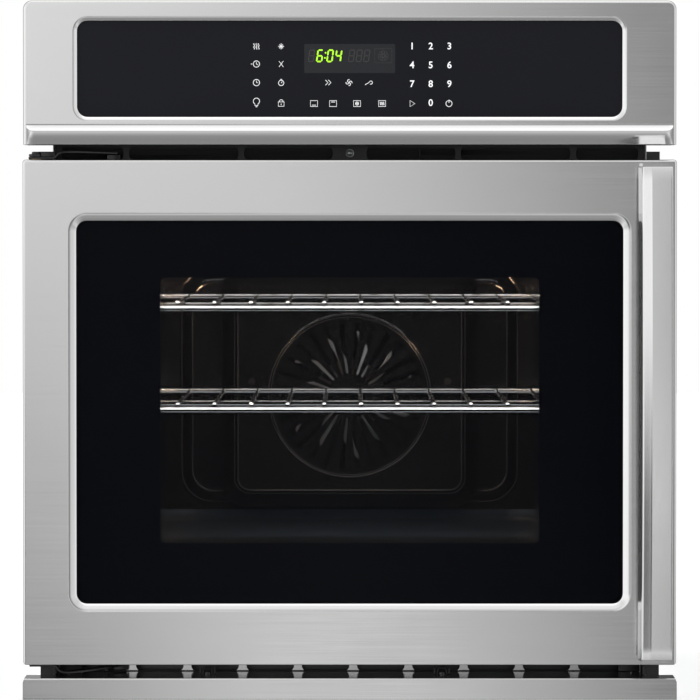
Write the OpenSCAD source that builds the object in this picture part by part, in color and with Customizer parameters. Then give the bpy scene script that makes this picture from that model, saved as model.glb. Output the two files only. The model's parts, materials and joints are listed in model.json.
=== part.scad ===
// Built-in electric wall oven with a side-swing door.
// Millimetres. Origin: the middle of the base pan's lower front edge, in the plane of the cabinet face.
// +X right, +Y into the cabinet, +Z up; the front faces -Y.

/* [Front] */
// Width of the control panel
panel_w = 686; // [680:1:692]
// Width of the door
door_w = 687; // [682:1:690]
// Width of the bottom trim
trim_w = 689; // [684:1:694]
// Distance from the cabinet face to the control panel's front
front_d = 40; // [36:1:44]
// Thickness of the door, from its front face to its liner
door_d = 38; // [36:1:40]
// Corner radius of the black glass panels
glass_r = 11; // [8:1:14]

/* [Body] */
// Width of the case that goes into the cabinet
body_w = 628; // [626:1:630]
// Depth of the case behind the cabinet face
body_d = 540; // [538:1:546]
// Height of the case above its shelf
body_h = 688; // [684:1:694]
// Thickness of the case sheet
sheet = 1; // [0.8:0.1:1.2]

/* [Cavity] */
// Inside width of the cavity
cavity_w = 536; // [530:1:538]
// Inside depth of the cavity
cavity_d = 460; // [458:1:462]
// Inside height of the cavity
cavity_h = 396; // [392:1:396]
// Pitch of the rack positions
rack_pitch = 36; // [35:0.5:37]
// Number of rack positions
rack_positions = 7; // [5:1:7]

/* [Racks] */
// Position of the lower rack, counted from 0 at the bottom
lower_rack_at = 3; // [0:1:3]
// Position of the upper rack, counted from 0 at the bottom
upper_rack_at = 6; // [5:1:6]
// Radius of a rack's frame rod
rod_r = 3; // [2.6:0.1:3.2]
// Radius of a rack's top wires
wire_r = 2.5; // [1.8:0.1:2.6]
// Number of top wires on a rack
wire_count = 12; // [8:1:12]

/* [Convection fan] */
// Radius of the fan wheel
fan_r = 76; // [70:1:80]
// Number of fan blades
fan_blades = 10; // [6:1:12]
// Number of radial slots in the fan baffle
baffle_slots = 28; // [20:1:30]

/* [Hidden] */
$fn = 48;
hull_fn = 32;
bow_fn = 1440;
eps = 0.01;

// Heights above the shelf
trim_bottom = -20.5;
trim_top = 2.2;
door_bottom = 16.5;
door_top = 548;
panel_bottom = 563.5;
panel_top = 715;

// Half widths
panel_hw = panel_w / 2;
door_hw = door_w / 2;
trim_hw = trim_w / 2;
body_hw = body_w / 2;
cavity_hw = cavity_w / 2;

// Door planes, front to back
skin_t = 1.2;
door_front = -44;
door_back = door_front + door_d;
glass_t = 4;

// Control panel and its glass
lip_out = 13;
lip_top = 584;
lip_crest = 579;
lip_mitre = 14;
panel_bevel = 3.5;
panel_window = [-286.3, 286.3, 593, 694];
panel_rim_w = 5;

// Door window: black glass inside a sloped rim, and the clear window behind it
door_bevel = 3.5;
door_window = [-287.4, 287.4, 81, 484];
door_rim_w = 8.2;
inner_window = [-206, 206, 141.5, 430];
plug = [-258, 258, 137, 524];
plug_d = 5;

// Hinge axis, at the door's left edge
hinge_x = -330;
hinge_y = -22;
pin_r = 5;
bush_gap = 0.05;
bush_r = 8;
bush_l = 15;

// Handle, a bar bowed out from the door
handle_x0 = 301.6;
handle_x1 = 337;
handle_z0 = 24.5;
handle_z1 = 540.5;
handle_mid_out = 48;
handle_end_out = 36;
handle_t = 13;
post_top = 3.5;
handle_bevel_w = 12;
handle_bevel_d = 2;
handle_bead_w = 5.4;
handle_flank_w = 2.6;
handle_flank_d = 6.5;
handle_zc = (handle_z0 + handle_z1) / 2;
handle_half = (handle_z1 - handle_z0) / 2;
handle_bow = handle_mid_out - handle_end_out;
handle_R = (handle_half * handle_half + handle_bow * handle_bow) / (2 * handle_bow);
handle_yc = door_front - handle_mid_out + handle_R;
handle_angle = 2 * asin(handle_half / handle_R);

// Cavity
wall_t = 2;
frame_y = 4;
frame_t = 1.5;
cavity_y0 = frame_y + frame_t;
cavity_y1 = cavity_y0 + cavity_d + 0.5;
cavity_z0 = 138;
cavity_z1 = cavity_z0 + cavity_h;
insulation_t = 20;
insulation_top = 544.8;
back_step = [-190, 190, 162, 424];
back_step_d = 10;
back_step_r = 28;

// Rack guides and racks
guide_w = 14;
guide_t = 4;
rack_z0 = 180;
rack_gap = 0.3;
rack_hw = 256;
rack_front = 28;
rack_back = 414;
rack_corner = 18;
rod_drop = rod_r + wire_r - 0.4;
wire_pitch = 39;
wire_shift = -7.5;
cross_rails = [209];

// Convection fan, its baffle and ring element
fan_z = 283;
baffle_front = 424;
baffle_face = [-128, 128, 175, 415];
baffle_base = [-146, 146, 154, 433];
sheet_baffle = 1.5;
ring_emboss_r = 92.5;
slot_r0 = 26;
slot_r1 = 84;
ring_element_r = 98;
element_lead_z = fan_z - sqrt(ring_element_r * ring_element_r - 400);
element_r = 3.5;
motor_r = 36;
shaft_r = 4;

// Upper compartment
divider_z = 547;
divider_t = 1.2;
deck = divider_z + divider_t;
blower_x = 60;
blower_y = 330;
blower_r = 60;
blower_h = 52;
wheel_r = 46;

// Side lamps, meat-probe socket and sensor
lamp_y = 80;
lamp_z = 485;
lamp_hole_r = 26;
probe_y = 60;
probe_z = 440;
probe_bore_r = 3.2;
sensor_x = -235;
sensor_z = 500;

// Door lock and door switch
latch_x = 300;
latch_z = 300;
latch_y = 34;
switch_x = -298;
switch_z = 500;

// Colours
steel = "silver";
enamel = "#15161a";
zinc = "#9aa0a4";
dark = "#202226";

// ---------------------------------------------------------------- helpers

module box(x, y, z) { translate([x[0], y[0], z[0]]) cube([x[1] - x[0], y[1] - y[0], z[1] - z[0]]); }

module both_sides() { children(); mirror([1, 0, 0]) children(); }

// Rounded rectangle r = [x0, x1, z0, z1], drawn in the plane that plate() stands up
module rounded(r, radius) {
  translate([r[0] + radius, r[2]]) square([r[1] - r[0] - 2 * radius, r[3] - r[2]]);
  translate([r[0], r[2] + radius]) square([r[1] - r[0], r[3] - r[2] - 2 * radius]);
  for (x = [r[0] + radius, r[1] - radius], z = [r[2] + radius, r[3] - radius])
    translate([x, z]) circle(radius);
}

module sharp(r) { translate([r[0], r[2]]) square([r[1] - r[0], r[3] - r[2]]); }

// Stands a 2D shape up facing the front, from y[0] to y[1]
module plate(y) { translate([0, y[1], 0]) rotate([90, 0, 0]) linear_extrude(y[1] - y[0]) children(); }

// Cylinder along Y, from y[0] to y[1]
module rod_y(x, y, z, r) { translate([x, y[0], z]) rotate([-90, 0, 0]) cylinder(r = r, h = y[1] - y[0]); }

// Cylinder along X, from x[0] to x[1]
module rod_x(x, y, z, r) { translate([x[0], y, z]) rotate([0, 90, 0]) cylinder(r = r, h = x[1] - x[0]); }

function grow(r, d) = [r[0] - d, r[1] + d, r[2] - d, r[3] + d];

// Sloped sheet rim round the rectangle r of corner radius radius: w wide, with its inner edge depth further back
module sloped_rim(r, radius, w, y0, depth, t) {
  slope = [[radius, -depth], [radius + w, 0], [radius + w, -t], [radius, -depth - t]];
  hx = (r[1] - r[0]) / 2 - radius;
  hz = (r[3] - r[2]) / 2 - radius;
  translate([(r[0] + r[1]) / 2, y0, (r[2] + r[3]) / 2]) rotate([90, 0, 0]) for (k = [0 : 3]) {
    along = k % 2 == 0 ? hx : hz;
    out = k % 2 == 0 ? hz : hx;
    rotate([0, 0, k * 90]) {
      translate([-along, out, 0]) rotate([90, 0, 90]) linear_extrude(2 * along) polygon(slope);
      translate([along, out, 0]) rotate_extrude(angle = 90) polygon(slope);
    }
  }
}

module offset_rect(r, radius) {
  hull() for (x = [r[0] + radius, r[1] - radius], z = [r[2] + radius, r[3] - radius])
    translate([x, z]) circle(radius, $fn = hull_fn);
}

// Heating element: straight runs along Y at pitch, joined in turn by half loops, with both ends at the back
module serpentine(x0, pitch, runs, y_front, y_back, y_end, z) {
  for (i = [0 : runs - 1])
    rod_y(x0 + i * pitch, [y_front, (i == 0 || i == runs - 1) ? y_end : y_back], z, element_r);
  for (i = [0 : runs - 2])
    translate([x0 + (i + 0.5) * pitch, i % 2 == 0 ? y_front : y_back, z])
      rotate([0, 0, i % 2 == 0 ? 180 : 0])
        rotate_extrude(angle = 180) translate([pitch / 2, 0]) circle(element_r);
}

// ---------------------------------------------------------------- case

module base_pan() color(zinc) {
  box([-312.8, 312.8], [0, 539], [0, 1.2]);
  box([-312.8, 312.8], [537.8, 539], [0, 12]);
  both_sides() box([311.6, 312.8], [45, 539], [0, 12]);
}

module side_panel() color(zinc) difference() {
  box([body_hw - sheet, body_hw], [0, 539], [1.2, 686.8]);
  for (i = [0 : 5], y = [90, 300])
    box([body_hw - 3, body_hw + 3], [y, y + 110], [604 + i * 12, 609 + i * 12]);
}

module left_side_panel() mirror([1, 0, 0]) side_panel();
module right_side_panel() side_panel();

module top_cover() color(zinc) difference() {
  box([-body_hw, body_hw], [0, body_d], [body_h - sheet, body_h]);
  for (i = [0 : 7], x = [-210, 90])
    box([x, x + 120], [360 + i * 14, 366 + i * 14], [body_h - 3, body_h + 3]);
}

module rear_cover() color(zinc) difference() {
  box([-body_hw, body_hw], [539, 540], [0, 687]);
  for (i = [0 : 5], x = [-150, 30])
    box([x, x + 120], [535, 545], [590 + i * 12, 595 + i * 12]);
  for (i = [0 : 4], x = [-60, 10])
    box([x, x + 50], [535, 545], [258 + i * 10, 263 + i * 10]);
  rod_y(240, [530, 550], 640, 14);
}

module front_frame() color(enamel) difference() {
  union() {
    plate([frame_y, cavity_y0]) difference() {
      sharp([-312.5, 312.5, 25, 546]);
      rounded([-cavity_hw, cavity_hw, cavity_z0, cavity_z1], 6);
    }
    box([-312.5, 312.5], [cavity_y0 - eps, 45], [25, 26]);
    box([-312.5, 312.5], [cavity_y0 - eps, 14], [545, 546]);
    both_sides() box([311.3, 312.5], [cavity_y0 - eps, 30], [26 - eps, 545 + eps]);
  }
  box([latch_x - 3, latch_x + 3], [0, 10], [270, 318]);
  rod_y(switch_x, [0, 10], switch_z, 4.2);
}

module door_gasket() color(dark) plate([-5.7, frame_y]) difference() {
  rounded([-cavity_hw - 12, cavity_hw + 12, cavity_z0 - 12.5, cavity_z1 + 9.5], 16);
  rounded([-cavity_hw - 4, cavity_hw + 4, cavity_z0 - 4.5, cavity_z1 + 1.5], 8);
}

module upper_vent_strip() color(enamel) plate([14, 15.2]) difference() {
  sharp([-312, 312, 546, 580]);
  for (s = [[18, 112], [118, 234], [240, 306]]) {
    rounded([s[0], s[1], 548.5, 562], 5);
    rounded([-s[1], -s[0], 548.5, 562], 5);
  }
}

vent_pitch = 59.1;
vent_shift = 3.7;
vent_slot_w = 50.8;
module lower_vent_strip() color(steel) plate([44, 45]) difference() {
  sharp([-311, 311, 1.2, 25]);
  for (i = [-5 : 4])
    let (x = vent_shift + (i + 0.5) * vent_pitch)
      rounded([x - vent_slot_w / 2, x + vent_slot_w / 2, 2, 20], 6);
}

module bottom_trim() color(steel) {
  box([-312.8, 312.8], [-front_d, 44], [trim_top - sheet, trim_top]);
  box([-trim_hw, trim_hw], [-front_d, -0.2], [trim_top - sheet, trim_top]);
  box([-trim_hw, trim_hw], [-front_d, -front_d + sheet], [trim_bottom, trim_top]);
  box([-trim_hw, trim_hw], [-front_d, -front_d + 10], [trim_bottom, trim_bottom + sheet]);
  both_sides() box([trim_hw - sheet, trim_hw], [-front_d, -0.2], [trim_bottom, trim_top]);
}

mount_x = 321.5;
mount_z = [100, 460];
mount_r = 2.75;
module side_trim() color(enamel) difference() {
  union() {
    box([body_hw, 328], [-1.5, 0], [trim_top, 557]);
    box([body_hw, body_hw + 1.2], [-eps, 20], [trim_top, 557]);
  }
  for (z = mount_z) rod_y(mount_x, [-5, 5], z, mount_r);
}

module left_side_trim() mirror([1, 0, 0]) side_trim();
module right_side_trim() side_trim();

// ---------------------------------------------------------------- door hinges

module strap(points, w, z) {
  for (i = [0 : len(points) - 2]) hull() {
    translate([points[i][0], points[i][1], z[0]]) cylinder(r = w, h = z[1] - z[0], $fn = hull_fn);
    translate([points[i + 1][0], points[i + 1][1], z[0]]) cylinder(r = w, h = z[1] - z[0], $fn = hull_fn);
  }
}

module bottom_hinge_bracket() color(zinc) {
  strap([[-244, 33], [-300, hinge_y], [hinge_x, hinge_y]], 7, [4, 8]);
  translate([hinge_x, hinge_y, 4]) cylinder(r = pin_r, h = 26.5);
  translate([hinge_x, hinge_y, 7.9]) cylinder(r = 9, h = 6.1);
  box([-252, -236], [38, 44], [4, 24]);
}

module top_hinge_bracket() color(zinc) {
  strap([[-250, 6], [-300, hinge_y], [hinge_x, hinge_y]], 7, [553.5, 557.5]);
  translate([hinge_x, hinge_y, 534]) cylinder(r = pin_r, h = 23.5);
  translate([hinge_x, hinge_y, 550]) cylinder(r = 9, h = 3.6);
  box([-257, -243], [5, 13], [546, 554]);
}

// ---------------------------------------------------------------- cavity

// Side wall with its stamped rack guides
module cavity_side() {
  box([cavity_hw, cavity_hw + wall_t], [cavity_y0, cavity_y1], [cavity_z0 - wall_t, cavity_z1 + wall_t]);
  for (i = [0 : rack_positions - 1])
    let (top = rack_z0 + i * rack_pitch - rod_drop - rod_r - rack_gap)
      box([cavity_hw - guide_w, cavity_hw + eps], [20, rack_back + 6], [top - guide_t, top]);
}

module lamp_hole() { rod_x([cavity_hw - 5, cavity_hw + 60], lamp_y, lamp_z, lamp_hole_r); }

module cavity_left_wall() color(enamel) mirror([1, 0, 0]) difference() { cavity_side(); lamp_hole(); }
module cavity_right_wall() color(enamel) difference() {
  cavity_side();
  lamp_hole();
  rod_x([cavity_hw - 1, cavity_hw + 5], probe_y, probe_z, 8);
}

module cavity_floor() color(enamel)
  box([-cavity_hw, cavity_hw], [cavity_y0, cavity_y1], [cavity_z0 - wall_t, cavity_z0]);

module cavity_ceiling() color(enamel)
  box([-cavity_hw, cavity_hw], [cavity_y0, cavity_y1], [cavity_z1, cavity_z1 + wall_t]);

// Back wall with a raised, round-cornered field for the baffle
module cavity_back() color(enamel) difference() {
  union() {
    plate([cavity_y1, cavity_y1 + wall_t]) difference() {
      sharp([-cavity_hw - wall_t, cavity_hw + wall_t, cavity_z0 - wall_t, cavity_z1 + wall_t]);
      rounded(grow(back_step, -wall_t), back_step_r - wall_t);
    }
    difference() {
      plate([cavity_y1 - back_step_d, cavity_y1 + eps]) rounded(back_step, back_step_r);
      plate([cavity_y1 - back_step_d + wall_t, cavity_y1 + 1]) rounded(grow(back_step, -wall_t), back_step_r - wall_t);
    }
  }
  rod_y(0, [440, 480], fan_z, 14);
  for (x = [-20, 20]) rod_y(x, [440, 480], element_lead_z, 5);
  for (x = [-210, 210]) rod_y(x, [440, 480], 518, 5);
  rod_y(sensor_x, [440, 480], sensor_z, 4);
}

module radial_slot() polygon([[slot_r0, -1.1], [slot_r1, -3], [slot_r1, 3], [slot_r0, 1.1]]);

module fan_baffle() color(enamel) {
  difference() {
    hull() {
      plate([baffle_front, baffle_front + 1]) offset_rect(baffle_face, 14);
      plate([cavity_y1 - back_step_d - 1, cavity_y1 - back_step_d]) offset_rect(baffle_base, 26);
    }
    hull() {
      plate([baffle_front + sheet_baffle, baffle_front + sheet_baffle + 1])
        offset_rect(grow(baffle_face, -sheet_baffle), 12.5);
      plate([cavity_y1 - back_step_d - 1, cavity_y1 - back_step_d + 1])
        offset_rect(grow(baffle_base, -sheet_baffle), 24.5);
    }
    plate([baffle_front - 1, baffle_front + 3]) translate([0, fan_z])
      for (i = [0 : baffle_slots - 1]) rotate([0, 0, (i + 0.5) * 360 / baffle_slots]) radial_slot();
  }
  translate([0, baffle_front + 0.2, fan_z]) rotate([90, 0, 0])
    rotate_extrude() polygon([
      [ring_emboss_r - 3, 0], [ring_emboss_r - 1, 2.2], [ring_emboss_r + 1, 2.2], [ring_emboss_r + 3, 0]
    ]);
}

module convection_element() color(dark) {
  translate([0, 444, fan_z]) rotate([90, 0, 0])
    rotate([0, 0, -78]) rotate_extrude(angle = 336) translate([ring_element_r, 0]) circle(element_r);
  for (x = [-20, 20]) rod_y(x, [444, 505], element_lead_z, element_r);
}

module broil_element() color(dark) serpentine(-210, 60, 8, 70, 400, 505, 518);
module bake_element() color(dark) serpentine(-210, 60, 8, 70, 400, 505, 128);

module element_clips() color(zinc) for (x = [-120, 120], y = [120, 340]) {
  box([x - 40, x + 40], [y - 3, y + 3], [508, 509.5]);
  both_sides_of(x) box([x + 34, x + 36], [y - 3, y + 3], [509.5 - eps, cavity_z1]);
}

module both_sides_of(x) { children(); translate([2 * x, 0, 0]) mirror([1, 0, 0]) children(); }

module insulation() color("gold") difference() {
  box([-cavity_hw - wall_t - insulation_t, cavity_hw + wall_t + insulation_t], [8, cavity_y1 + 22.5], [96, insulation_top]);
  box([-cavity_hw - wall_t - 0.2, cavity_hw + wall_t + 0.2], [0, cavity_y1 + wall_t + 0.3], [116, cavity_z1 + wall_t + 0.2]);
  both_sides() rod_x([cavity_hw, cavity_hw + 60], lamp_y, lamp_z, 32);
  rod_x([cavity_hw, cavity_hw + 60], probe_y, probe_z, 12);
  rod_y(0, [460, 500], fan_z, 45);
  for (x = [-20, 20]) rod_y(x, [460, 500], fan_z - ring_element_r, 7);
  for (x = [-210, 210], z = [128, 518]) rod_y(x, [460, 500], z, 6);
  rod_y(sensor_x, [460, 500], sensor_z, 8);
}

module lamp_lens() {
  rod_x([cavity_hw - 3, cavity_hw], lamp_y, lamp_z, lamp_hole_r + 3);
  rod_x([cavity_hw - eps, cavity_hw + wall_t], lamp_y, lamp_z, lamp_hole_r - 0.5);
}

module lamp_housing() difference() {
  rod_x([cavity_hw + wall_t, cavity_hw + wall_t + 30], lamp_y, lamp_z, 30);
  rod_x([cavity_hw + wall_t - 1, cavity_hw + wall_t + 27], lamp_y, lamp_z, 27);
  rod_x([cavity_hw + wall_t + 20, cavity_hw + wall_t + 40], lamp_y, lamp_z, 6.2);
}

module lamp_bulb() {
  rod_x([cavity_hw + wall_t + 8, cavity_hw + wall_t + 24], lamp_y, lamp_z, 4.5);
  rod_x([cavity_hw + wall_t + 24 - eps, cavity_hw + wall_t + 34], lamp_y, lamp_z, 6);
}

module lamp_lenses() color("white") both_sides() lamp_lens();
module lamp_housings() color(zinc) both_sides() lamp_housing();
module lamp_bulbs() color("ivory") both_sides() lamp_bulb();

module temperature_sensor() color(zinc) {
  rod_y(sensor_x, [395, 500], sensor_z, 2.5);
  box([sensor_x - 12, sensor_x + 12], [cavity_y1 - 1.5, cavity_y1], [sensor_z - 8, sensor_z + 8]);
}

module probe_socket() color(steel) difference() {
  union() {
    rod_x([cavity_hw - 3, cavity_hw], probe_y, probe_z, 11);
    rod_x([cavity_hw - eps, cavity_hw + 27], probe_y, probe_z, 7.8);
  }
  rod_x([cavity_hw - 4, cavity_hw + 22], probe_y, probe_z, probe_bore_r);
}

// ---------------------------------------------------------------- convection fan

module convection_motor() color(zinc) difference() {
  union() {
    rod_y(0, [492, 528], fan_z, motor_r);
    rod_y(0, [cavity_y1 + wall_t + 2, 492 + eps], fan_z, 9);
    box([-58, 58], [489, 492 + eps], [fan_z - 12, fan_z + 12]);
  }
  rod_y(0, [460, 520], fan_z, shaft_r + 0.05);
}

module convection_fan() color("lightgray") {
  rod_y(0, [430, 512], fan_z, shaft_r);
  rod_y(0, [434, 450], fan_z, 12);
  rod_y(0, [448, 449.4], fan_z, fan_r - 2);
  translate([0, 0, fan_z]) rotate([90, 0, 0])
    for (i = [0 : fan_blades - 1]) rotate([0, 0, i * 360 / fan_blades])
      translate([11, 0, -448.5]) rotate([22, 0, 0]) translate([0, -0.8, -0.5]) cube([fan_r - 11, 1.6, 17]);
}

// ---------------------------------------------------------------- upper compartment

module divider_plate() color(zinc) difference() {
  box([-311, 311], [15.2, 538], [divider_z, deck]);
  translate([blower_x, blower_y, 540]) cylinder(r = 30, h = 20);
  for (x = [-292, 292]) box([x - 8, x + 8], [60, 140], [540, 560]);
}

module blower_housing() color(zinc) difference() {
  union() {
    translate([blower_x, blower_y, deck]) cylinder(r = blower_r, h = blower_h);
    box([blower_x - blower_r, blower_x + 15], [250, blower_y], [deck, deck + 16]);
  }
  translate([blower_x, blower_y, deck + 1.2]) cylinder(r = blower_r - 1.2, h = blower_h - 2.4);
  translate([blower_x, blower_y, deck - 1]) cylinder(r = 30, h = 5);
  translate([blower_x, blower_y, deck + blower_h - 5]) cylinder(r = 9, h = 10);
  box([blower_x - blower_r + 1.2, blower_x + 13.8], [240, blower_y - 20], [deck + 1.2, deck + 14.8]);
}

module blower_duct() color(zinc) difference() {
  box([blower_x - blower_r, blower_x + 15], [16, 249.5], [deck, deck + 16]);
  box([blower_x - blower_r + 1, blower_x + 14], [10, 255], [deck + 1, deck + 15]);
}

module blower_wheel() color(dark) translate([blower_x, blower_y, deck]) {
  translate([0, 0, 6]) cylinder(r = wheel_r, h = 1.5);
  translate([0, 0, 6]) cylinder(r = 10, h = 40);
  for (i = [0 : 23]) rotate([0, 0, i * 15])
    translate([wheel_r - 11, -0.6, 7]) cube([10.5, 1.2, 34]);
  translate([0, 0, 45]) cylinder(r = 3, h = 22);
}

module blower_motor() color(dark) translate([blower_x, blower_y, deck + blower_h]) difference() {
  union() {
    translate([0, 0, 0.5]) cylinder(r = 32, h = 36);
    translate([-45, -6, 0]) cube([90, 12, 3]);
  }
  translate([0, 0, -1]) cylinder(r = 12, h = 4);
  translate([0, 0, -1]) cylinder(r = 3.05, h = 20);
}

module relay_board() color("darkgreen") {
  box([-280, -150], [110, 280], [deck + 8, deck + 9.6]);
  for (x = [-272, -158], y = [118, 272]) translate([x, y, deck]) cylinder(r = 3, h = 8 + eps);
  for (i = [0 : 4]) box([-270 + i * 23, -252 + i * 23], [130, 160], [deck + 9.5, deck + 26]);
  box([-265, -215], [190, 240], [deck + 9.5, deck + 40]);
  box([-200, -165], [200, 262], [deck + 9.5, deck + 24]);
}

module conduit_gland() color(steel) difference() {
  union() {
    rod_y(240, [531, 552], 640, 13.9);
    rod_y(240, [540, 544], 640, 18);
    rod_y(240, [534, 539], 640, 18);
  }
  rod_y(240, [530, 553], 640, 11);
}

// ---------------------------------------------------------------- control panel

// Wedge-shaped lip across the panel's foot, mitred at its ends and open at its back
module lip_solid(inset) {
  hw = panel_hw - inset;
  y_back = inset == 0 ? -front_d + eps : -front_d + 5;
  y_crest = -front_d - lip_out + 1.5 * inset;
  z0 = panel_bottom + inset;
  z1 = lip_top - inset;
  intersection() {
    translate([-hw, 0, 0]) rotate([90, 0, 90]) linear_extrude(2 * hw) polygon([
      [y_back, z0], [y_back, z1], [-front_d, z1], [-front_d - 6, lip_crest + 1 - inset],
      [y_crest, lip_crest - inset / 2], [y_crest, lip_crest - 2 - inset / 2], [-front_d, z0]
    ]);
    translate([0, 0, z0 - 1]) linear_extrude(z1 - z0 + 2) polygon([
      [-hw, y_back], [-hw, -front_d], [lip_mitre - hw, y_crest],
      [hw - lip_mitre, y_crest], [hw, -front_d], [hw, y_back]
    ]);
  }
}

module control_panel() color(steel) {
  difference() {
    union() {
      plate([-front_d, 0]) panel_outline(0);
      lip_solid(0);
    }
    plate([-front_d + skin_t, 5]) panel_outline(skin_t);
    lip_solid(skin_t);
    plate([-front_d - 1, -front_d + 2]) rounded(grow(panel_window, panel_rim_w), glass_r + panel_rim_w);
  }
  both_sides() box([325, panel_hw - skin_t + eps], [-skin_t, 0], [panel_bottom + skin_t - eps, 700]);
  box([-panel_hw + 10, panel_hw - 10], [-skin_t, 0], [700 - eps, panel_top - skin_t + eps]);
  sloped_rim(panel_window, glass_r, panel_rim_w, -front_d, panel_bevel, skin_t);
}

// The panel from the front: round at its top corners, square at its foot
module panel_outline(inset) {
  rounded([-panel_hw + inset, panel_hw - inset, panel_bottom + 30, panel_top - inset], 9 - inset);
  sharp([-panel_hw + inset, panel_hw - inset, panel_bottom + inset, panel_bottom + 60]);
}

glass_front = -front_d + panel_bevel + skin_t;
module control_glass() color("black")
  plate([glass_front, glass_front + 3]) rounded(grow(panel_window, 3.5), glass_r + 2);

module control_board() color("darkgreen") {
  box([-118, 118], [-30, -28.4], [596, 692]);
  box([-42, 46], [glass_front + 3, -29.9], [658, 689]);
  for (i = [0 : 5]) box([-100 + i * 36, -84 + i * 36], [-28.5, -25.5], [604, 616]);
}

module control_tray() color(zinc) {
  box([-300, 300], [-24, -22.8], [590, 698]);
  box([-300, 300], [-22.9, 0], [590, 591.2]);
  both_sides() box([298.8, 300], [-22.9, 24], [600, 680]);
  for (x = [-110, 110], z = [602, 686]) rod_y(x, [-28.4, -24 + eps], z, 3);
}

// ---------------------------------------------------------------- door lock and switch

module latch_motor() color(zinc) {
  box([303, 304.2], [12, 76], [262, 330]);
  rod_x([296.5, 303 + eps], latch_y, latch_z, 3);
  rod_x([292.5, 303 + eps], 62, 276, 9);
  rod_x([304.2 - eps, 311], 58, 300, 17);
}

module latch_hook() color(steel) difference() {
  union() {
    box([latch_x - 1.5, latch_x + 1.5], [-18, latch_y], [latch_z - 8, latch_z]);
    box([latch_x - 1.5, latch_x + 1.5], [-18, -12.5], [latch_z - 16, latch_z - 7]);
    rod_x([latch_x - 1.5, latch_x + 1.5], latch_y, latch_z - 2, 8);
  }
  rod_x([latch_x - 5, latch_x + 5], latch_y, latch_z, 3.06);
}

module door_switch() color(dark) difference() {
  box([switch_x - 7, switch_x + 7], [cavity_y0, 32], [switch_z - 10, switch_z + 10]);
  rod_y(switch_x, [cavity_y0 - 1, 26], switch_z, 3.1);
}

module switch_plunger() color("ivory") {
  rod_y(switch_x, [-5.6, 20], switch_z, 3);
}

// ---------------------------------------------------------------- screws

module screw_y(x, y, z, r = 4, h = 1.6) { rod_y(x, [y - h, y], z, r); }

module body_screws() color(zinc) {
  screw_y(0, 14, 555.5, 3.6);
  both_sides() for (z = [60, 120, 220, 430]) screw_y(300.5, frame_y, z, 3.6);
  for (x = [-151, 98]) translate([x, 9, trim_top]) cylinder(r = 4, h = 2.2);
  both_sides() translate([300, 20, trim_top]) cylinder(r = 2.5, h = 1.6);
  both_sides() screw_y(112, baffle_front, 299.5, 4);
  both_sides() for (z = [20, 240, 460, 680]) rod_y(306, [540, 541.8], z, 4);
}

// ---------------------------------------------------------------- racks

module rack(at) color("gainsboro") {
  z = rack_z0 + at * rack_pitch;
  rod_z = z - rod_drop;
  rod_x([-rack_hw + rack_corner, rack_hw - rack_corner], rack_front, rod_z, rod_r);
  rod_x([-rack_hw + rack_corner, rack_hw - rack_corner], rack_back, rod_z, rod_r);
  for (y = cross_rails) rod_x([-rack_hw, rack_hw], y, rod_z, rod_r - 0.2);
  both_sides() {
    rod_y(rack_hw, [rack_front + rack_corner, rack_back - rack_corner], rod_z, rod_r);
    translate([rack_hw - rack_corner, rack_front + rack_corner, rod_z]) rotate([0, 0, -90])
      rotate_extrude(angle = 90) translate([rack_corner, 0]) circle(rod_r);
    translate([rack_hw - rack_corner, rack_back - rack_corner, rod_z])
      rotate_extrude(angle = 90) translate([rack_corner, 0]) circle(rod_r);
  }
  for (i = [-(wire_count - 1) / 2 : (wire_count - 1) / 2])
    rod_y(wire_shift + i * wire_pitch, [rack_front - 3.5, rack_back + 2], z, wire_r);
}

module lower_rack() rack(lower_rack_at);
module upper_rack() rack(upper_rack_at);

// ---------------------------------------------------------------- door

module door_skin() color(steel) {
  difference() {
    box([-door_hw, door_hw], [door_front, door_back - 2], [door_bottom, door_top]);
    box([-door_hw + skin_t, door_hw - skin_t], [door_front + skin_t, 0], [door_bottom + skin_t, door_top - skin_t]);
    plate([door_front - 1, door_front + 2]) rounded(grow(door_window, door_rim_w), glass_r + door_rim_w);
    for (z = [door_bottom - 1, door_top - 4]) translate([hinge_x, hinge_y, z]) cylinder(r = bush_r + 0.2, h = 5);
  }
  sloped_rim(door_window, glass_r, door_rim_w, door_front, door_bevel, skin_t);
}

outer_glass_y = door_front + door_bevel + skin_t;
module door_outer_glass() color("black")
  plate([outer_glass_y, outer_glass_y + glass_t]) rounded(grow(door_window, 6), glass_r + 4);

module door_mid_glass() color("lightblue") {
  box([-230, 230], [-33.4, -30.4], [114, 452]);
  box([-215, 215], [-15, -12], [129, 437]);
}

module door_inner_glass() color("lightblue")
  box([-212, 212], [-6.4, -2.4], [139, 436]);

// Channel round the middle glass, open at its front
module window_frame() color(zinc) difference() {
  plate([-29, -8]) difference() {
    sharp([-236, 236, 108, 458]);
    sharp([-216, 216, 128, 438]);
  }
  plate([-30, -9.2]) difference() {
    sharp([-234.8, 234.8, 109.2, 456.8]);
    sharp([-217.2, 217.2, 126.8, 439.2]);
  }
}

module door_liner() color(enamel) {
  difference() {
    union() {
      box([-341, 341], [door_back - skin_t, door_back], [19, 545.5]);
      difference() {
        box([-341, 341], [-20, door_back - skin_t + eps], [19, 545.5]);
        box([-339.8, 339.8], [-21, door_back], [20.2, 544.3]);
      }
      plate([door_back - skin_t, door_back + plug_d]) rounded(plug, 14);
    }
    plate([door_back - 2, door_back + plug_d - skin_t]) rounded(grow(plug, -skin_t), 14 - skin_t);
    plate([-10, 5]) rounded(inner_window, 10);
    box([latch_x - 3.5, latch_x + 3.5], [-12, 0], [280, 312]);
    for (z = [10, 533]) box([-345, -301], [-30, -11], [z, z + 22]);
  }
}

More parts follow.
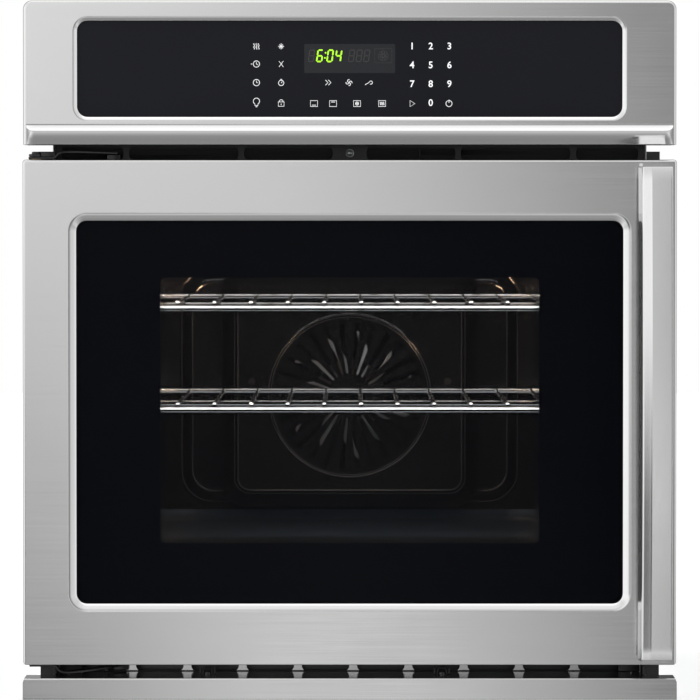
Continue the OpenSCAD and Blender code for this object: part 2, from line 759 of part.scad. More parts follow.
module door_insulation() color("gold") difference() {
  box([-332, 332], [-29, -9], [30, 535]);
  box([-237, 237], [-30, 0], [107, 459]);
  for (z = [0, 515]) box([-345, -300], [-40, 0], [z, z + 50]);
  box([285, 316], [-40, 0], [245, 335]);
}

handle_profile = [
  [-handle_t, handle_x0], [-handle_flank_d, handle_x0 + handle_flank_w], [-handle_bevel_d, handle_x0 + handle_bead_w],
  [0, handle_x0 + handle_bevel_w], [0, handle_x1 - 1.5], [-1.5, handle_x1], [-handle_t, handle_x1]
];
module handle_bar() color(steel)
  translate([0, handle_yc, handle_zc]) rotate([0, 90, 0]) rotate([0, 0, -90 - handle_angle / 2])
    rotate_extrude(angle = handle_angle, $fn = bow_fn) polygon([for (p = handle_profile) [handle_R + p[0], p[1]]]);

post_slope = 16;
module handle_post() intersection() {
  translate([handle_x0 + 3.5, 0, 0]) rotate([90, 0, 90]) linear_extrude(handle_x1 - handle_x0 - 6.5)
    polygon([
      [door_front, handle_z1 - 54], [door_front - handle_mid_out, handle_z1 - 54 + post_slope],
      [door_front - handle_mid_out, handle_z1 + post_top], [door_front, handle_z1 + post_top]
    ]);
  translate([300, handle_yc, handle_zc]) rotate([0, 90, 0]) cylinder(r = handle_R - handle_t, h = 50, $fn = bow_fn);
}

module handle_posts() color(steel) {
  handle_post();
  translate([0, 0, 2 * handle_zc]) mirror([0, 0, 1]) handle_post();
}

module door_bush() difference() {
  translate([hinge_x, hinge_y, 0]) cylinder(r = bush_r, h = bush_l);
  translate([hinge_x, hinge_y, -1]) cylinder(r = pin_r + bush_gap, h = bush_l + 2);
}

// Hinge bushes in their reinforcing plates
module door_bushes() color("goldenrod") for (z = [door_bottom - 1, door_top + 1 - bush_l]) {
  translate([0, 0, z]) door_bush();
  translate([0, 0, z + 3]) difference() {
    box([-338, -303], [-38, -12], [0, 8]);
    translate([hinge_x, hinge_y, -1]) cylinder(r = bush_r - 0.5, h = 12);
  }
}

// ---------------------------------------------------------------- nodes

base_pan();
left_side_panel();
right_side_panel();
top_cover();
rear_cover();
front_frame();
door_gasket();
upper_vent_strip();
lower_vent_strip();
bottom_trim();
left_side_trim();
right_side_trim();
top_hinge_bracket();
bottom_hinge_bracket();
cavity_left_wall();
cavity_right_wall();
cavity_floor();
cavity_ceiling();
cavity_back();
fan_baffle();
convection_element();
broil_element();
element_clips();
bake_element();
insulation();
lamp_lenses();
lamp_housings();
lamp_bulbs();
temperature_sensor();
probe_socket();
convection_motor();
divider_plate();
blower_housing();
blower_motor();
blower_duct();
relay_board();
conduit_gland();
control_panel();
control_glass();
control_board();
control_tray();
latch_motor();
door_switch();
body_screws();
convection_fan();
blower_wheel();
latch_hook();
switch_plunger();
lower_rack();
upper_rack();
door_skin();
door_outer_glass();
door_mid_glass();
door_inner_glass();
window_frame();
door_liner();
door_insulation();
handle_bar();
handle_posts();
door_bushes();
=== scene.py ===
"""Wall oven: surfaces, trim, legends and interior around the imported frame.

Sizes in this file are millimetres unless a name or a comment says otherwise; Blender gets metres.
"""
import json
from math import cos, dist, hypot, pi, radians, sin, tan

import bmesh
import bpy
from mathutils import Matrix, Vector


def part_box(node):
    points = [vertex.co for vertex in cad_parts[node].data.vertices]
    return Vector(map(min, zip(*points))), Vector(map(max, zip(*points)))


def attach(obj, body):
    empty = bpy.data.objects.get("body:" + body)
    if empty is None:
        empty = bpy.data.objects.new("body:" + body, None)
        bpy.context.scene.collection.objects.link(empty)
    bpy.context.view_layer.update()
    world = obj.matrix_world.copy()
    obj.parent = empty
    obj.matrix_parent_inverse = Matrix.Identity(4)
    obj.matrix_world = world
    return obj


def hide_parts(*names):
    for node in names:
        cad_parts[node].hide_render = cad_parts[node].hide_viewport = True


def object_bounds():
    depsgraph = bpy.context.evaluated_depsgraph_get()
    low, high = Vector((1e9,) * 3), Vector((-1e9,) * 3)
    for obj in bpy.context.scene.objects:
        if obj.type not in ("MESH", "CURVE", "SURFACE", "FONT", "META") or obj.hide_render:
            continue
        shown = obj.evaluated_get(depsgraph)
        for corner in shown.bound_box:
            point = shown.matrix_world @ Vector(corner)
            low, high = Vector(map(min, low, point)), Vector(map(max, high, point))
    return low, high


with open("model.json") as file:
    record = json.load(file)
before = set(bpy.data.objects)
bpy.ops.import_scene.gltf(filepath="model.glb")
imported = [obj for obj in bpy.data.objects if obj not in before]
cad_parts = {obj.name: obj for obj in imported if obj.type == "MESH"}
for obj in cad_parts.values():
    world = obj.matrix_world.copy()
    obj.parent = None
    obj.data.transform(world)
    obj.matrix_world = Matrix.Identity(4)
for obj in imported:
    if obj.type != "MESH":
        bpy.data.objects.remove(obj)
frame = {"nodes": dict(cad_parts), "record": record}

cad_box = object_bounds()
MM = 0.001
SLOT = {part["node"]: part["material_slot"] for part in frame["record"]["subparts"]}


# ---- frame helpers

def span(node):
    """x0, x1, y0, y1, z0, z1 of a CAD node at rest."""
    low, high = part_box(node)
    return [value / MM for pair in zip(low, high) for value in pair]


def front_of(node):
    """x0, x1, z0, z1 of a CAD node: its rectangle as seen from the front."""
    box = span(node)
    return box[:2] + box[4:]


def grow(rect, by):
    return [rect[0] - by, rect[1] + by, rect[2] - by, rect[3] + by]


# ---- camera and light

CAMERA_PLACE = (0.3, -5244, 490)
CAMERA_AIM = (0.3, 0, 347)
LENS, SENSOR = 254.7, 36


def put(name, data):
    """A new object in the scene that holds data."""
    piece = bpy.data.objects.new(name, data)
    bpy.context.collection.objects.link(piece)
    return piece


def stand(piece, place, aim):
    """Put a camera or light at place, looking at aim."""
    piece.location = Vector(place) * MM
    piece.rotation_euler = (Vector(aim) * MM - Vector(place) * MM).to_track_quat("-Z", "Y").to_euler()


def make_camera():
    """A long lens a little above the door's middle, looking slightly down."""
    data = bpy.data.cameras.new("camera")
    data.lens = LENS
    data.sensor_width = SENSOR
    camera = put("camera", data)
    stand(camera, CAMERA_PLACE, CAMERA_AIM)
    bpy.context.scene.camera = camera


make_camera()


class Nodes:
    """Short way to add linked nodes to a node tree."""

    def __init__(self, tree):
        self.tree = tree

    def add(self, kind, inputs=(), **settings):
        node = self.tree.nodes.new("ShaderNode" + kind)
        for key, value in settings.items():
            setattr(node, key, value)
        for key, value in dict(inputs).items():
            if isinstance(value, bpy.types.NodeSocket):
                self.tree.links.new(value, node.inputs[key])
            else:
                node.inputs[key].default_value = value
        return node

    def maths(self, operation, a, b=0.0, clamp=False):
        return self.add("Math", {0: a, 1: b}, operation=operation, use_clamp=clamp).outputs[0]

    def mix(self, factor, a, b, blend="MIX"):
        node = self.add("Mix", {0: factor, 6: a, 7: b}, data_type="RGBA", blend_type=blend)
        return node.outputs[2]

    def ramp(self, factor, stops):
        node = self.add("ValToRGB", {0: factor})
        ramp = node.color_ramp
        while len(ramp.elements) < len(stops):
            ramp.elements.new(0.5)
        for element, (place, value) in zip(ramp.elements, stops):
            element.position = place
            element.color = (value, value, value, 1)
        return node.outputs[0]


def make_world():
    """Plain white to the eye; what metal and glass mirror is a soft studio of panels, brightest overhead.

    high and low are the panels above and below eye level, near is the band close to it, lift dims the
    light from below, sky adds the overhead panel and rear dims what stands behind the oven.
    """
    world = bpy.data.worlds.new("studio")
    world.use_nodes = True
    world.node_tree.nodes.clear()
    n = Nodes(world.node_tree)
    direction = n.add("TexCoord").outputs["Generated"]
    axes = n.add("SeparateXYZ", {0: direction}).outputs
    # Each scale runs 0 to 1: left to right, in front of the oven to behind it, straight down to straight up.
    across, ahead, up = [n.maths("MULTIPLY_ADD", axis, 0.5) for axis in axes[:3]]
    for scale in (across, ahead, up):
        scale.node.inputs[2].default_value = 0.5
    high = n.ramp(across, [(0, 1.4), (0.1, 1.3), (0.3, 1.2), (0.42, 1.35), (0.468, 1.1), (0.5, 0.78),
                           (0.535, 0.24), (0.57, 0.21), (0.63, 0.4), (0.8, 0.8), (0.905, 0.95), (1, 1.2)])
    low = n.ramp(across, [(0, 1.35), (0.1, 1.28), (0.16, 0.9), (0.3, 0.12), (0.42, 0.03), (0.467, 0.1),
                          (0.5, 1.3), (0.53, 0.22), (0.57, 0.14), (0.63, 0.24), (0.8, 0.64), (0.905, 0.86),
                          (1, 1.2)])
    plain_sides = n.ramp(across, [(0, 1.3), (0.2, 0.95), (0.4, 0.8), (0.6, 0.74), (0.8, 0.8), (1, 1.1)])
    level = n.ramp(up, [(0, 0), (0.44, 0), (0.52, 1), (1, 1)])
    near = n.ramp(up, [(0, 0), (0.27, 0), (0.4, 1), (0.58, 1), (0.75, 0), (1, 0)])
    sides = n.mix(near, plain_sides, n.mix(level, low, high))
    lift = n.ramp(up, [(0, 0.44), (0.06, 0.46), (0.105, 0.57), (0.15, 0.68), (0.21, 0.86), (0.28, 1.06),
                       (0.32, 0.88), (0.37, 0.72), (0.41, 0.84), (0.45, 0.98), (0.8, 1.05), (1, 1.3)])
    sky = n.ramp(up, [(0, 0), (0.75, 0), (0.9, 0.3), (0.965, 1), (1, 1)])
    rear = n.ramp(ahead, [(0, 1), (0.4, 1), (0.52, 0.7), (0.75, 0.42), (1, 0.3)])
    light = n.mix(sky, n.mix(1.0, sides, lift, "MULTIPLY"), (1.7, 1.7, 1.7, 1))
    light = n.mix(1.0, light, rear, "MULTIPLY")
    glow = n.add("Background", {"Color": light, "Strength": 1.0})
    plain = n.add("Background", {"Color": (1, 1, 1, 1), "Strength": 1.0})
    seen = n.add("LightPath").outputs["Is Camera Ray"]
    out = n.add("MixShader", {0: seen, 1: glow.outputs[0], 2: plain.outputs[0]})
    n.add("OutputWorld", {"Surface": out.outputs[0]})
    bpy.context.scene.world = world
    bpy.context.scene.view_settings.view_transform = "Standard"


make_world()


def area_light(name, place, aim, size, watts, colour=(1, 1, 1), size_y=None):
    data = bpy.data.lights.new(name, "AREA")
    data.shape = "RECTANGLE"
    data.size = size * MM
    data.size_y = (size_y or size) * MM
    data.energy = watts
    data.color = colour
    light = put(name, data)
    stand(light, place, aim)
    return light


# ---- materials

def surface(name, colour, rough, metallic=0.0, stretch=(1, 1, 1), grain=400, mottle=0.06, vary=0.06,
            bump=0.1, depth=0.05, smudge=0.05, specks=0.0, emission=0.0, **sockets):
    """Procedural finish: fine grain, slow blotches of colour and polish, optional light specks, and bump.

    grain is the fine noise's cells per metre, stretch its scale along each axis, depth the bump's height.
    """
    material = bpy.data.materials.new(name)
    material.use_nodes = True
    material.node_tree.nodes.clear()
    n = Nodes(material.node_tree)
    place = n.add("TexCoord").outputs["Object"]
    fine_place = n.add("Mapping", {"Vector": place, "Scale": [grain * s for s in stretch]}).outputs[0]

    def noise(vector, scale, roughness):
        settings = {"Vector": vector, "Scale": scale, "Detail": 3.0, "Roughness": roughness}
        return n.add("TexNoise", settings).outputs[0]
    fine, slow = noise(fine_place, 1.0, 0.6), noise(place, 7.0, 0.55)
    dark = [c * (1 - mottle) for c in colour] + [1]
    light = [min(c * (1 + mottle), 1) for c in colour] + [1]
    blend = n.maths("ADD", n.maths("MULTIPLY", fine, 0.6), n.maths("MULTIPLY", slow, 0.4))
    shade = n.mix(blend, dark, light)
    if specks:
        cells = n.add("TexVoronoi", {"Vector": place, "Scale": 520.0}).outputs["Distance"]
        dots = n.ramp(cells, [(0, 1), (0.14, 1), (0.2, 0), (1, 0)])
        sparse = n.add("TexNoise", {"Vector": place, "Scale": 300.0, "Detail": 0.0}).outputs[0]
        few = n.ramp(sparse, [(0, 0), (0.5, 0), (0.62, 1), (1, 1)])
        seen = n.maths("MULTIPLY", n.maths("MULTIPLY", dots, few), specks)
        shade = n.mix(seen, shade, (0.55, 0.57, 0.6, 1))
    marks = n.ramp(slow, [(0, 0), (0.42, 0.1), (0.6, 0.6), (1, 1)])
    spread = n.maths("ADD", n.maths("MULTIPLY", fine, vary), n.maths("MULTIPLY", marks, smudge))
    polish = n.maths("ADD", spread, rough - vary / 2 - smudge / 3, clamp=True)
    normal = n.add("Bump", {"Strength": bump, "Distance": depth * MM, "Height": fine}).outputs[0]
    bsdf = n.add("BsdfPrincipled", {"Base Color": shade, "Roughness": polish, "Metallic": metallic,
                                    "Normal": normal})
    for key, value in sockets.items():
        bsdf.inputs[key.replace("_", " ")].default_value = value
    if emission:
        bsdf.inputs["Emission Strength"].default_value = emission
        bsdf.inputs["Emission Color"].default_value = (*colour, 1)
    n.add("OutputMaterial", {"Surface": bsdf.outputs[0]})
    return material


ALONG_X, ALONG_Z = (0.006, 1, 1), (1, 1, 0.006)
STEEL_COLOUR = (0.7, 0.7, 0.7)
BRUSHED = {"grain": 1300, "bump": 0.05, "depth": 0.008, "smudge": 0.03}
GLASSY = {"bump": 0.02, "depth": 0.02, "smudge": 0.01}
PRINTED = {"grain": 900, "bump": 0.02, "depth": 0.01}
ENAMELLED = {"grain": 260, "mottle": 0.3, "vary": 0.08}
EDGE = {"bump": 0.15, "depth": 0.1, **ENAMELLED}
PLASTIC = {"grain": 1400, "depth": 0.03}
steel = surface("brushed_steel_x", STEEL_COLOUR, 0.14, 1.0, stretch=ALONG_X, mottle=0.1, vary=0.13,
                **BRUSHED)
steel_up = surface("brushed_steel_z", STEEL_COLOUR, 0.14, 0.9, stretch=ALONG_Z, mottle=0.08, vary=0.1,
                   **BRUSHED)
vent_steel = surface("vent_strip_steel", (0.5, 0.5, 0.5), 0.16, 1.0, stretch=ALONG_X, vary=0.08, **BRUSHED)
zinc = surface("zinc_sheet", (0.56, 0.58, 0.59), 0.42, 1.0, grain=90, mottle=0.16, vary=0.18, bump=0.05,
               smudge=0.1)
black_paint = surface("black_paint", (0.02, 0.02, 0.022), 0.42, grain=900, mottle=0.15, vary=0.1, bump=0.2)
arm_paint = surface("hinge_arm_paint", (0.03, 0.03, 0.032), 0.25, 0.5, grain=900, mottle=0.2, vary=0.1,
                    bump=0.15, depth=0.04)
# Lighter than the black enamel so the wall's beads show as thin light lines: a painted highlight.
bead_painted_highlight = surface("enamel_edge", (0.032, 0.032, 0.033), 0.2, **EDGE)
# Brighter still, for the arcs on the fan ring, the field's lower corners and the baffle's foot: a painted
# highlight.
glint_painted_highlight = surface("enamel_edge_painted_glint", (0.09, 0.09, 0.088), 0.2, **EDGE)
enamel = surface("black_enamel", (0.0058, 0.006, 0.0064), 0.14, grain=260, mottle=0.2, vary=0.05, bump=0.12,
                 depth=0.12, specks=0.3, Coat_Weight=0.3, Coat_Roughness=0.1)
floor_enamel = surface("floor_enamel", (0.0125, 0.019, 0.026), 0.34, bump=0.2, depth=0.12, specks=0.5,
                       **ENAMELLED)
oxide = surface("element_sheath", (0.07, 0.066, 0.062), 0.5, 0.6, grain=700, mottle=0.3, vary=0.2, bump=0.25,
                depth=0.08)
control_black = surface("control_glass_black", (0.0088, 0.0094, 0.0128), 0.3, grain=1500, mottle=0.35,
                        vary=0.12, bump=0.25, depth=0.03, smudge=0.02, Specular_IOR_Level=0.12)
print_black = surface("printed_black", (0.0042, 0.0056, 0.0092), 0.08, grain=500, mottle=0.1, vary=0.02,
                      Specular_IOR_Level=0.025, **GLASSY)
pane = surface("tinted_pane", (0.003, 0.003, 0.004), 0.03, grain=30, mottle=0.2, vary=0.01, Alpha=0.32,
               Specular_IOR_Level=0.05, **GLASSY)
clear = surface("clear_pane", (0.004, 0.005, 0.005), 0.03, grain=30, mottle=0.1, vary=0.01, Alpha=0.03,
                Specular_IOR_Level=0.2, **GLASSY)
lens = surface("ribbed_lens", (0.9, 0.88, 0.82), 0.15, grain=200, mottle=0.05, vary=0.05, depth=0.1,
               smudge=0.02, Alpha=0.45)
bulb = surface("lit_bulb", (1.0, 0.62, 0.28), 0.3, grain=300, mottle=0.02, vary=0.02, bump=0.02, depth=0.02,
               smudge=0.0, emission=9.0)
chrome = surface("plated_wire", (0.86, 0.86, 0.86), 0.16, 1.0, grain=300, mottle=0.03, vary=0.03, bump=0.02,
                 depth=0.01, smudge=0.02)
fan_sheet = surface("fan_sheet", (0.42, 0.42, 0.42), 0.45, 0.35, grain=500, mottle=0.1, vary=0.12,
                    depth=0.03, smudge=0.08)
# The motor's own dark paint, also used on the vent blades and the base sheet that paint shade.
motor_and_shade_paint = surface("motor_and_shade_paint", (0.09, 0.09, 0.095), 0.4, 0.3, grain=500, mottle=0.15, vary=0.1)
black_screw = surface("black_screw", (0.05, 0.05, 0.052), 0.3, 0.8, grain=700, mottle=0.2, vary=0.1,
                      depth=0.04)
black_plastic = surface("black_plastic", (0.016, 0.016, 0.017), 0.45, mottle=0.2, vary=0.12, bump=0.3,
                        **PLASTIC)
white_plastic = surface("white_plastic", (0.78, 0.77, 0.73), 0.4, mottle=0.03, vary=0.1, bump=0.2, **PLASTIC)
board = surface("circuit_board", (0.02, 0.12, 0.05), 0.35, mottle=0.3, vary=0.1, bump=0.2)
fibre = surface("glass_fibre", (0.72, 0.6, 0.28), 0.9, stretch=(1, 1, 0.3), grain=500, mottle=0.25,
                vary=0.05, bump=0.8, depth=0.6)
cord = surface("woven_gasket", (0.07, 0.07, 0.072), 0.8, grain=700, mottle=0.4, vary=0.1, bump=0.9,
               depth=0.5)
bronze = surface("oiled_bronze", (0.2, 0.15, 0.1), 0.32, 1.0, grain=500, mottle=0.08, vary=0.12, bump=0.08,
                 depth=0.03)
# White print for the legends, with a slight emission that is a painted glow: the ink is no lamp.
ink_painted_glow = surface("legend_ink_painted_glow", (0.8, 0.81, 0.82), 0.5, grain=900, mottle=0.05, vary=0.05, bump=0.05, depth=0.01,
              emission=0.3)
display_tint = surface("display_tint", (0.016, 0.017, 0.02), 0.16, mottle=0.2, vary=0.05,
                       Specular_IOR_Level=0.25, **PRINTED)
ghost = surface("unlit_segment", (0.036, 0.036, 0.037), 0.3, mottle=0.1, vary=0.05, **PRINTED)
lit = surface("lit_segment", (0.32, 0.72, 0.012), 0.4, mottle=0.03, vary=0.02, emission=0.85, **PRINTED)
studio_white = surface("studio_white", (0.9, 0.9, 0.9), 0.7, grain=60, mottle=0.005, vary=0.02, bump=0.0,
                       depth=0.01, smudge=0.0, Specular_IOR_Level=0.0, emission=0.4)

FINISH = {
    "stainless": steel, "galvanised": zinc, "black_paint": black_paint, "enamel": enamel, "element": oxide,
    "black_glass": control_black, "door_glass": print_black, "clear_glass": clear, "rack_chrome": chrome,
    "fan_metal": fan_sheet, "motor": motor_and_shade_paint, "black_plastic": black_plastic,
    "white_plastic": white_plastic, "board": board, "glass_fibre": fibre, "gasket": cord, "brass": bronze,
}
NODE_FINISH = {
    "cavity_floor": floor_enamel, "lower_vent_strip": vent_steel, "body_screws": black_screw,
    # blower_duct takes black paint so its edge behind the top vent's slots stays dark: painted shade.
    "blower_duct": black_paint, "handle_bar": steel_up, "handle_posts": steel_up, "lamp_bulbs": bulb,
    "lamp_lenses": lens,
}

for node, part in frame["nodes"].items():
    part.data.materials.clear()
    part.data.materials.append(NODE_FINISH.get(node, FINISH[SLOT[node]]))


# ---- shapes

def arc(cx, cz, radius, start, stop, steps):
    """Points of an arc, its start and stop in degrees."""
    turns = [radians(start + (stop - start) * i / steps) for i in range(steps + 1)]
    return [(cx + radius * cos(t), cz + radius * sin(t)) for t in turns]


def outline(rect, radius, steps=8):
    """Rounded rectangle as (a, b) points, counterclockwise from its lower left.

    radius is one number, or one for each corner in that order.
    """
    a0, a1, b0, b1 = rect
    ll, lr, ur, ul = radius if isinstance(radius, (tuple, list)) else (radius,) * 4
    return (arc(a0 + ll, b0 + ll, ll, 180, 270, steps) + arc(a1 - lr, b0 + lr, lr, 270, 360, steps)
            + arc(a1 - ur, b1 - ur, ur, 0, 90, steps) + arc(a0 + ul, b1 - ul, ul, 90, 180, steps))


def facing(rect, radius, y, steps=8):
    """Rounded rectangle standing at y, facing the front."""
    return [(x, y, z) for x, z in outline(rect, radius, steps)]


class Shape:
    """Collects the surfaces of one piece."""

    def __init__(self):
        self.points, self.faces = [], []

    def add(self, points, faces):
        start = len(self.points)
        self.points += points
        self.faces += [tuple(i + start for i in face) for face in faces]
        return self

    def loft(self, loops, closed=True, caps=(False, False)):
        """Skin through equally long loops; closed joins each loop's last point to its first."""
        n = len(loops[0])
        faces = [(k * n + i, k * n + (i + 1) % n, (k + 1) * n + (i + 1) % n, (k + 1) * n + i)
                 for k in range(len(loops) - 1) for i in range(n if closed else n - 1)]
        if caps[0]:
            faces.append(tuple(range(n)))
        if caps[1]:
            faces.append(tuple(range((len(loops) - 1) * n, len(loops) * n)))
        return self.add([p for loop in loops for p in loop], faces)

    def solid(self, loops):
        """Skin through loops, closed at both ends."""
        return self.loft(loops, caps=(True, True))

    def slab(self, points, y0, y1, edge=0.3):
        """Flat plate with eased edges; points is its outline (x, z), counterclockwise."""
        cx = sum(p[0] for p in points) / len(points)
        cz = sum(p[1] for p in points) / len(points)

        def ring(y, inset):
            loop = []
            for x, z in points:
                length = hypot(x - cx, z - cz) or 1
                loop.append((x - (x - cx) / length * inset, y, z - (z - cz) / length * inset))
            return loop
        return self.solid([ring(y0, edge), ring(y0 + edge, 0), ring(y1 - edge, 0), ring(y1, edge)])

    def block(self, x, y, z, edge=0.6):
        """Box with chamfered edges."""
        def ring(height, inset):
            return [(a, b, height) for a, b in outline(grow([*x, *y], -inset), edge, 2)]
        return self.solid([ring(z[0], edge), ring(z[0] + edge, 0), ring(z[1] - edge, 0), ring(z[1], edge)])

    def tube(self, path, radius, sides=16, closed=False):
        """Round bar along a path; radius is one number or one for each point."""
        path = [Vector(p) for p in path]
        count = len(path)
        radii = radius if isinstance(radius, (list, tuple)) else [radius] * count
        loops, side = [], None
        for i, point in enumerate(path):
            before = path[i - 1] if (i or closed) else path[0]
            after = path[(i + 1) % count] if (i < count - 1 or closed) else path[-1]
            along = (after - before).normalized()
            if side is None:
                across = Vector((0, 0, 1)) if abs(along.z) < 0.9 else Vector((1, 0, 0))
                side = along.cross(across).normalized()
            side = (side - along * side.dot(along)).normalized()
            up = along.cross(side)
            loops.append([tuple(point + radii[i] * (cos(t) * side + sin(t) * up))
                          for t in (2 * pi * k / sides for k in range(sides))])
        if closed:
            loops.append(loops[0])
        return self.loft(loops, caps=(not closed, not closed))

    def lathe(self, centre, axis, profile, sides=24):
        """Turned part: profile is (distance along the axis, radius) pairs; axis is x, y or z."""
        other = {"x": (1, 2), "y": (2, 0), "z": (0, 1)}[axis]
        main = "xyz".index(axis)
        loops = []
        for along, radius in profile:
            loop = []
            for t in (2 * pi * k / sides for k in range(sides)):
                point = list(centre)
                point[main] += along
                point[other[0]] += radius * cos(t)
                point[other[1]] += radius * sin(t)
                loop.append(tuple(point))
            loops.append(loop)
        return self.solid(loops)

    def mesh(self, name, material):
        mesh = bpy.data.meshes.new(name)
        mesh.from_pydata([(x * MM, y * MM, z * MM) for x, y, z in self.points], [], self.faces)
        mesh.materials.append(material)
        return mesh

    def make(self, name, material, body="case", stands_for=(), slot=None, smooth=35):
        """Turn the collected surfaces into a piece that rides on a CAD body."""
        mesh = self.mesh(name, material)
        work = bmesh.new()
        work.from_mesh(mesh)
        bmesh.ops.remove_doubles(work, verts=work.verts, dist=1e-6)
        bmesh.ops.dissolve_degenerate(work, dist=1e-7, edges=work.edges)
        bmesh.ops.recalc_face_normals(work, faces=work.faces)
        work.to_mesh(mesh)
        work.free()
        mesh.shade_smooth()
        mesh.set_sharp_from_angle(angle=radians(smooth))
        piece = put(name, mesh)
        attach(piece, body)
        if stands_for:
            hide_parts(*stands_for)
        return piece


def finer(loop, length):
    """A closed loop with points added so that none are much further apart than length."""
    path = []
    for a, b in zip(loop, loop[1:] + loop[:1]):
        pieces = max(1, round(dist(a, b) / length))
        path += [tuple(p + (q - p) * k / pieces for p, q in zip(a, b)) for k in range(pieces)]
    return path


def roll(radius, steps=6):
    """(inset, setback) of an outer edge that turns from a front face to its side."""
    turns = [pi / 2 * k / steps for k in range(steps + 1)]
    return [(radius - radius * sin(t), radius - radius * cos(t)) for t in turns]


def rim_rings(window, radius, face, width, depth, shoulder):
    """Chamfer round a window, from its face down to the glass; the shoulder's width of it is rounded."""
    rings = [facing(window, radius, face + depth + 1.1), facing(window, radius, face + depth + 0.2)]
    slope = depth / (width - shoulder / 2)
    for k in range(3):
        w = 0.25 + (width - shoulder - 0.25) * k / 2
        rings.append(facing(grow(window, w), radius + w, face + depth - slope * w))
    for k in range(1, 8):
        u = 1 - k / 7
        w = width - shoulder * u
        rings.append(facing(grow(window, w), radius + w, face + slope * shoulder / 2 * u * u))
    return rings + [facing(grow(window, width + w), radius + width + w, face) for w in (0.6, 1.4)]


# ---- control panel

def make_control_panel():
    """Pressed panel: a rim round the glass, rounded edges and a lip that stands out along its foot."""
    x0, x1, y0, _, z0, z1 = span("control_panel")
    face = y0 + 13
    window = grow(front_of("control_glass"), -3.5)
    lip_top, crest = z0 + 20.5, z0 + 14.8
    edge, corner = 3.0, 9
    shape = Shape()
    rings = rim_rings(window, 11, face, 4.6, 2.2, 2.0)
    for inset in (edge + 1, edge + 0.3):
        radius = corner - inset
        rect = [x0 + inset, x1 - inset, lip_top + 1.6, z1 - inset]
        rings.append(facing(rect, (0.1, 0.1, radius, radius), face))
    shape.loft(rings)

    def arch(inset, y):
        """Up the left side, over the top and down the right, open at the foot."""
        loop = arc(x0 + corner, z1 - corner, corner - inset, 180, 90, 8)
        loop += arc(x1 - corner, z1 - corner, corner - inset, 90, 0, 8)
        return [(x0 + inset, y, z0 + 0.3)] + [(x, y, z) for x, z in loop] + [(x1 - inset, y, z0 + 0.3)]
    steps = [(edge + 0.3, 0)] + roll(edge)
    steps += [(0, edge + 1), (0, -1.2 - face), (0.4, -0.6 - face), (1.4, -0.4 - face), (16, -0.4 - face)]
    shape.loft([arch(inset, face + back) for inset, back in steps], closed=False)

    cove = [(face + 0.25, lip_top)]
    for k in range(7):
        t = k / 6
        cove.append((face + 0.1 - 2.6 * t - 0.3 * t * t, lip_top - 0.3 - (lip_top - crest - 0.5) * t))
    cove += [(face - 3.6, crest + 0.05), (y0 + 1.2, crest)]
    under, tall, parts = [(0, 0)], crest - z0 - 1.6, 14
    for k in range(1, parts + 1):
        tilt = 11 + 30 * min(1, (k - 0.5) / 9)
        back = under[-1][0] + tall / parts * tan(radians(tilt))
        under.append((back, tall * k / parts))
    profile = [(face, lip_top + 1.6), (face + 0.3, lip_top + 0.4)] + cove
    profile += [(y0 + back, crest - 0.2 - drop) for back, drop in under]
    foot = y0 + under[-1][0]
    profile += [(foot + 0.4, z0 + 0.9), (foot + 0.9, z0 + 0.4), (foot + 1.5, z0 + 0.1), (foot + 2.4, z0),
                (-1.5, z0), (-0.6, z0 + 0.5), (-0.5, z0 + 1.5), (-0.5, z0 + 14)]

    def section(swell):
        """The lip's profile where it stands out by swell, 0 to 1, its crest rising towards the lip's end."""
        high = lip_top - (lip_top - crest) * swell
        points = []
        for y, z in profile:
            if y < face and z0 + 0.5 < z < lip_top:
                if z > crest - 0.2:
                    z = lip_top - (lip_top - z) * swell
                else:
                    z = z0 + (z - z0) * (high - z0) / (crest - z0)
            points.append((face - (face - y) * swell if y < face else y, z))
        return points
    turns = [pi / 2 * k / 12 for k in range(13)]
    stations = [(edge + 0.3 + 9.5 * (1 - cos(a)), sin(a) ** 0.9) for a in turns]
    ends = [[(x0 + step, y, z) for y, z in section(swell)] for step, swell in stations]
    ends += [[(x1 - step, y, z) for y, z in section(swell)] for step, swell in reversed(stations)]
    shape.loft(ends, closed=False)
    shape.make("panel_shell", steel, "case", ["control_panel"])


make_control_panel()


# ---- door shell and glass

def make_door_skin():
    """Sheet folded round the door's edges, with a rim down to the glass."""
    x0, x1, y0, y1, z0, z1 = span("door_skin")
    window = grow(front_of("door_outer_glass"), -6)
    edge, deep = 2.6, y1 - y0
    rings = rim_rings(window, 11, y0, 8.4, 3.5, 3.6)

    def border(inset):
        """The door's outline drawn in; its foot is folded more tightly than its other edges."""
        return [x0 + inset, x1 - inset, z0 + inset * 0.35, z1 - inset]
    for inset in (edge + 1, edge + 0.3):
        rings.append(facing(border(inset), 0.6, y0))
    steps = roll(edge) + [(0, edge + 1), (0, deep - 1), (0.3, deep - 0.3), (1, deep), (2.4, deep)]
    for inset, back in steps:
        rings.append(facing(border(inset), max(3.2 - inset, 0.6), y0 + back))
    Shape().loft(rings).make("door_shell", steel, "door", ["door_skin"])


make_door_skin()


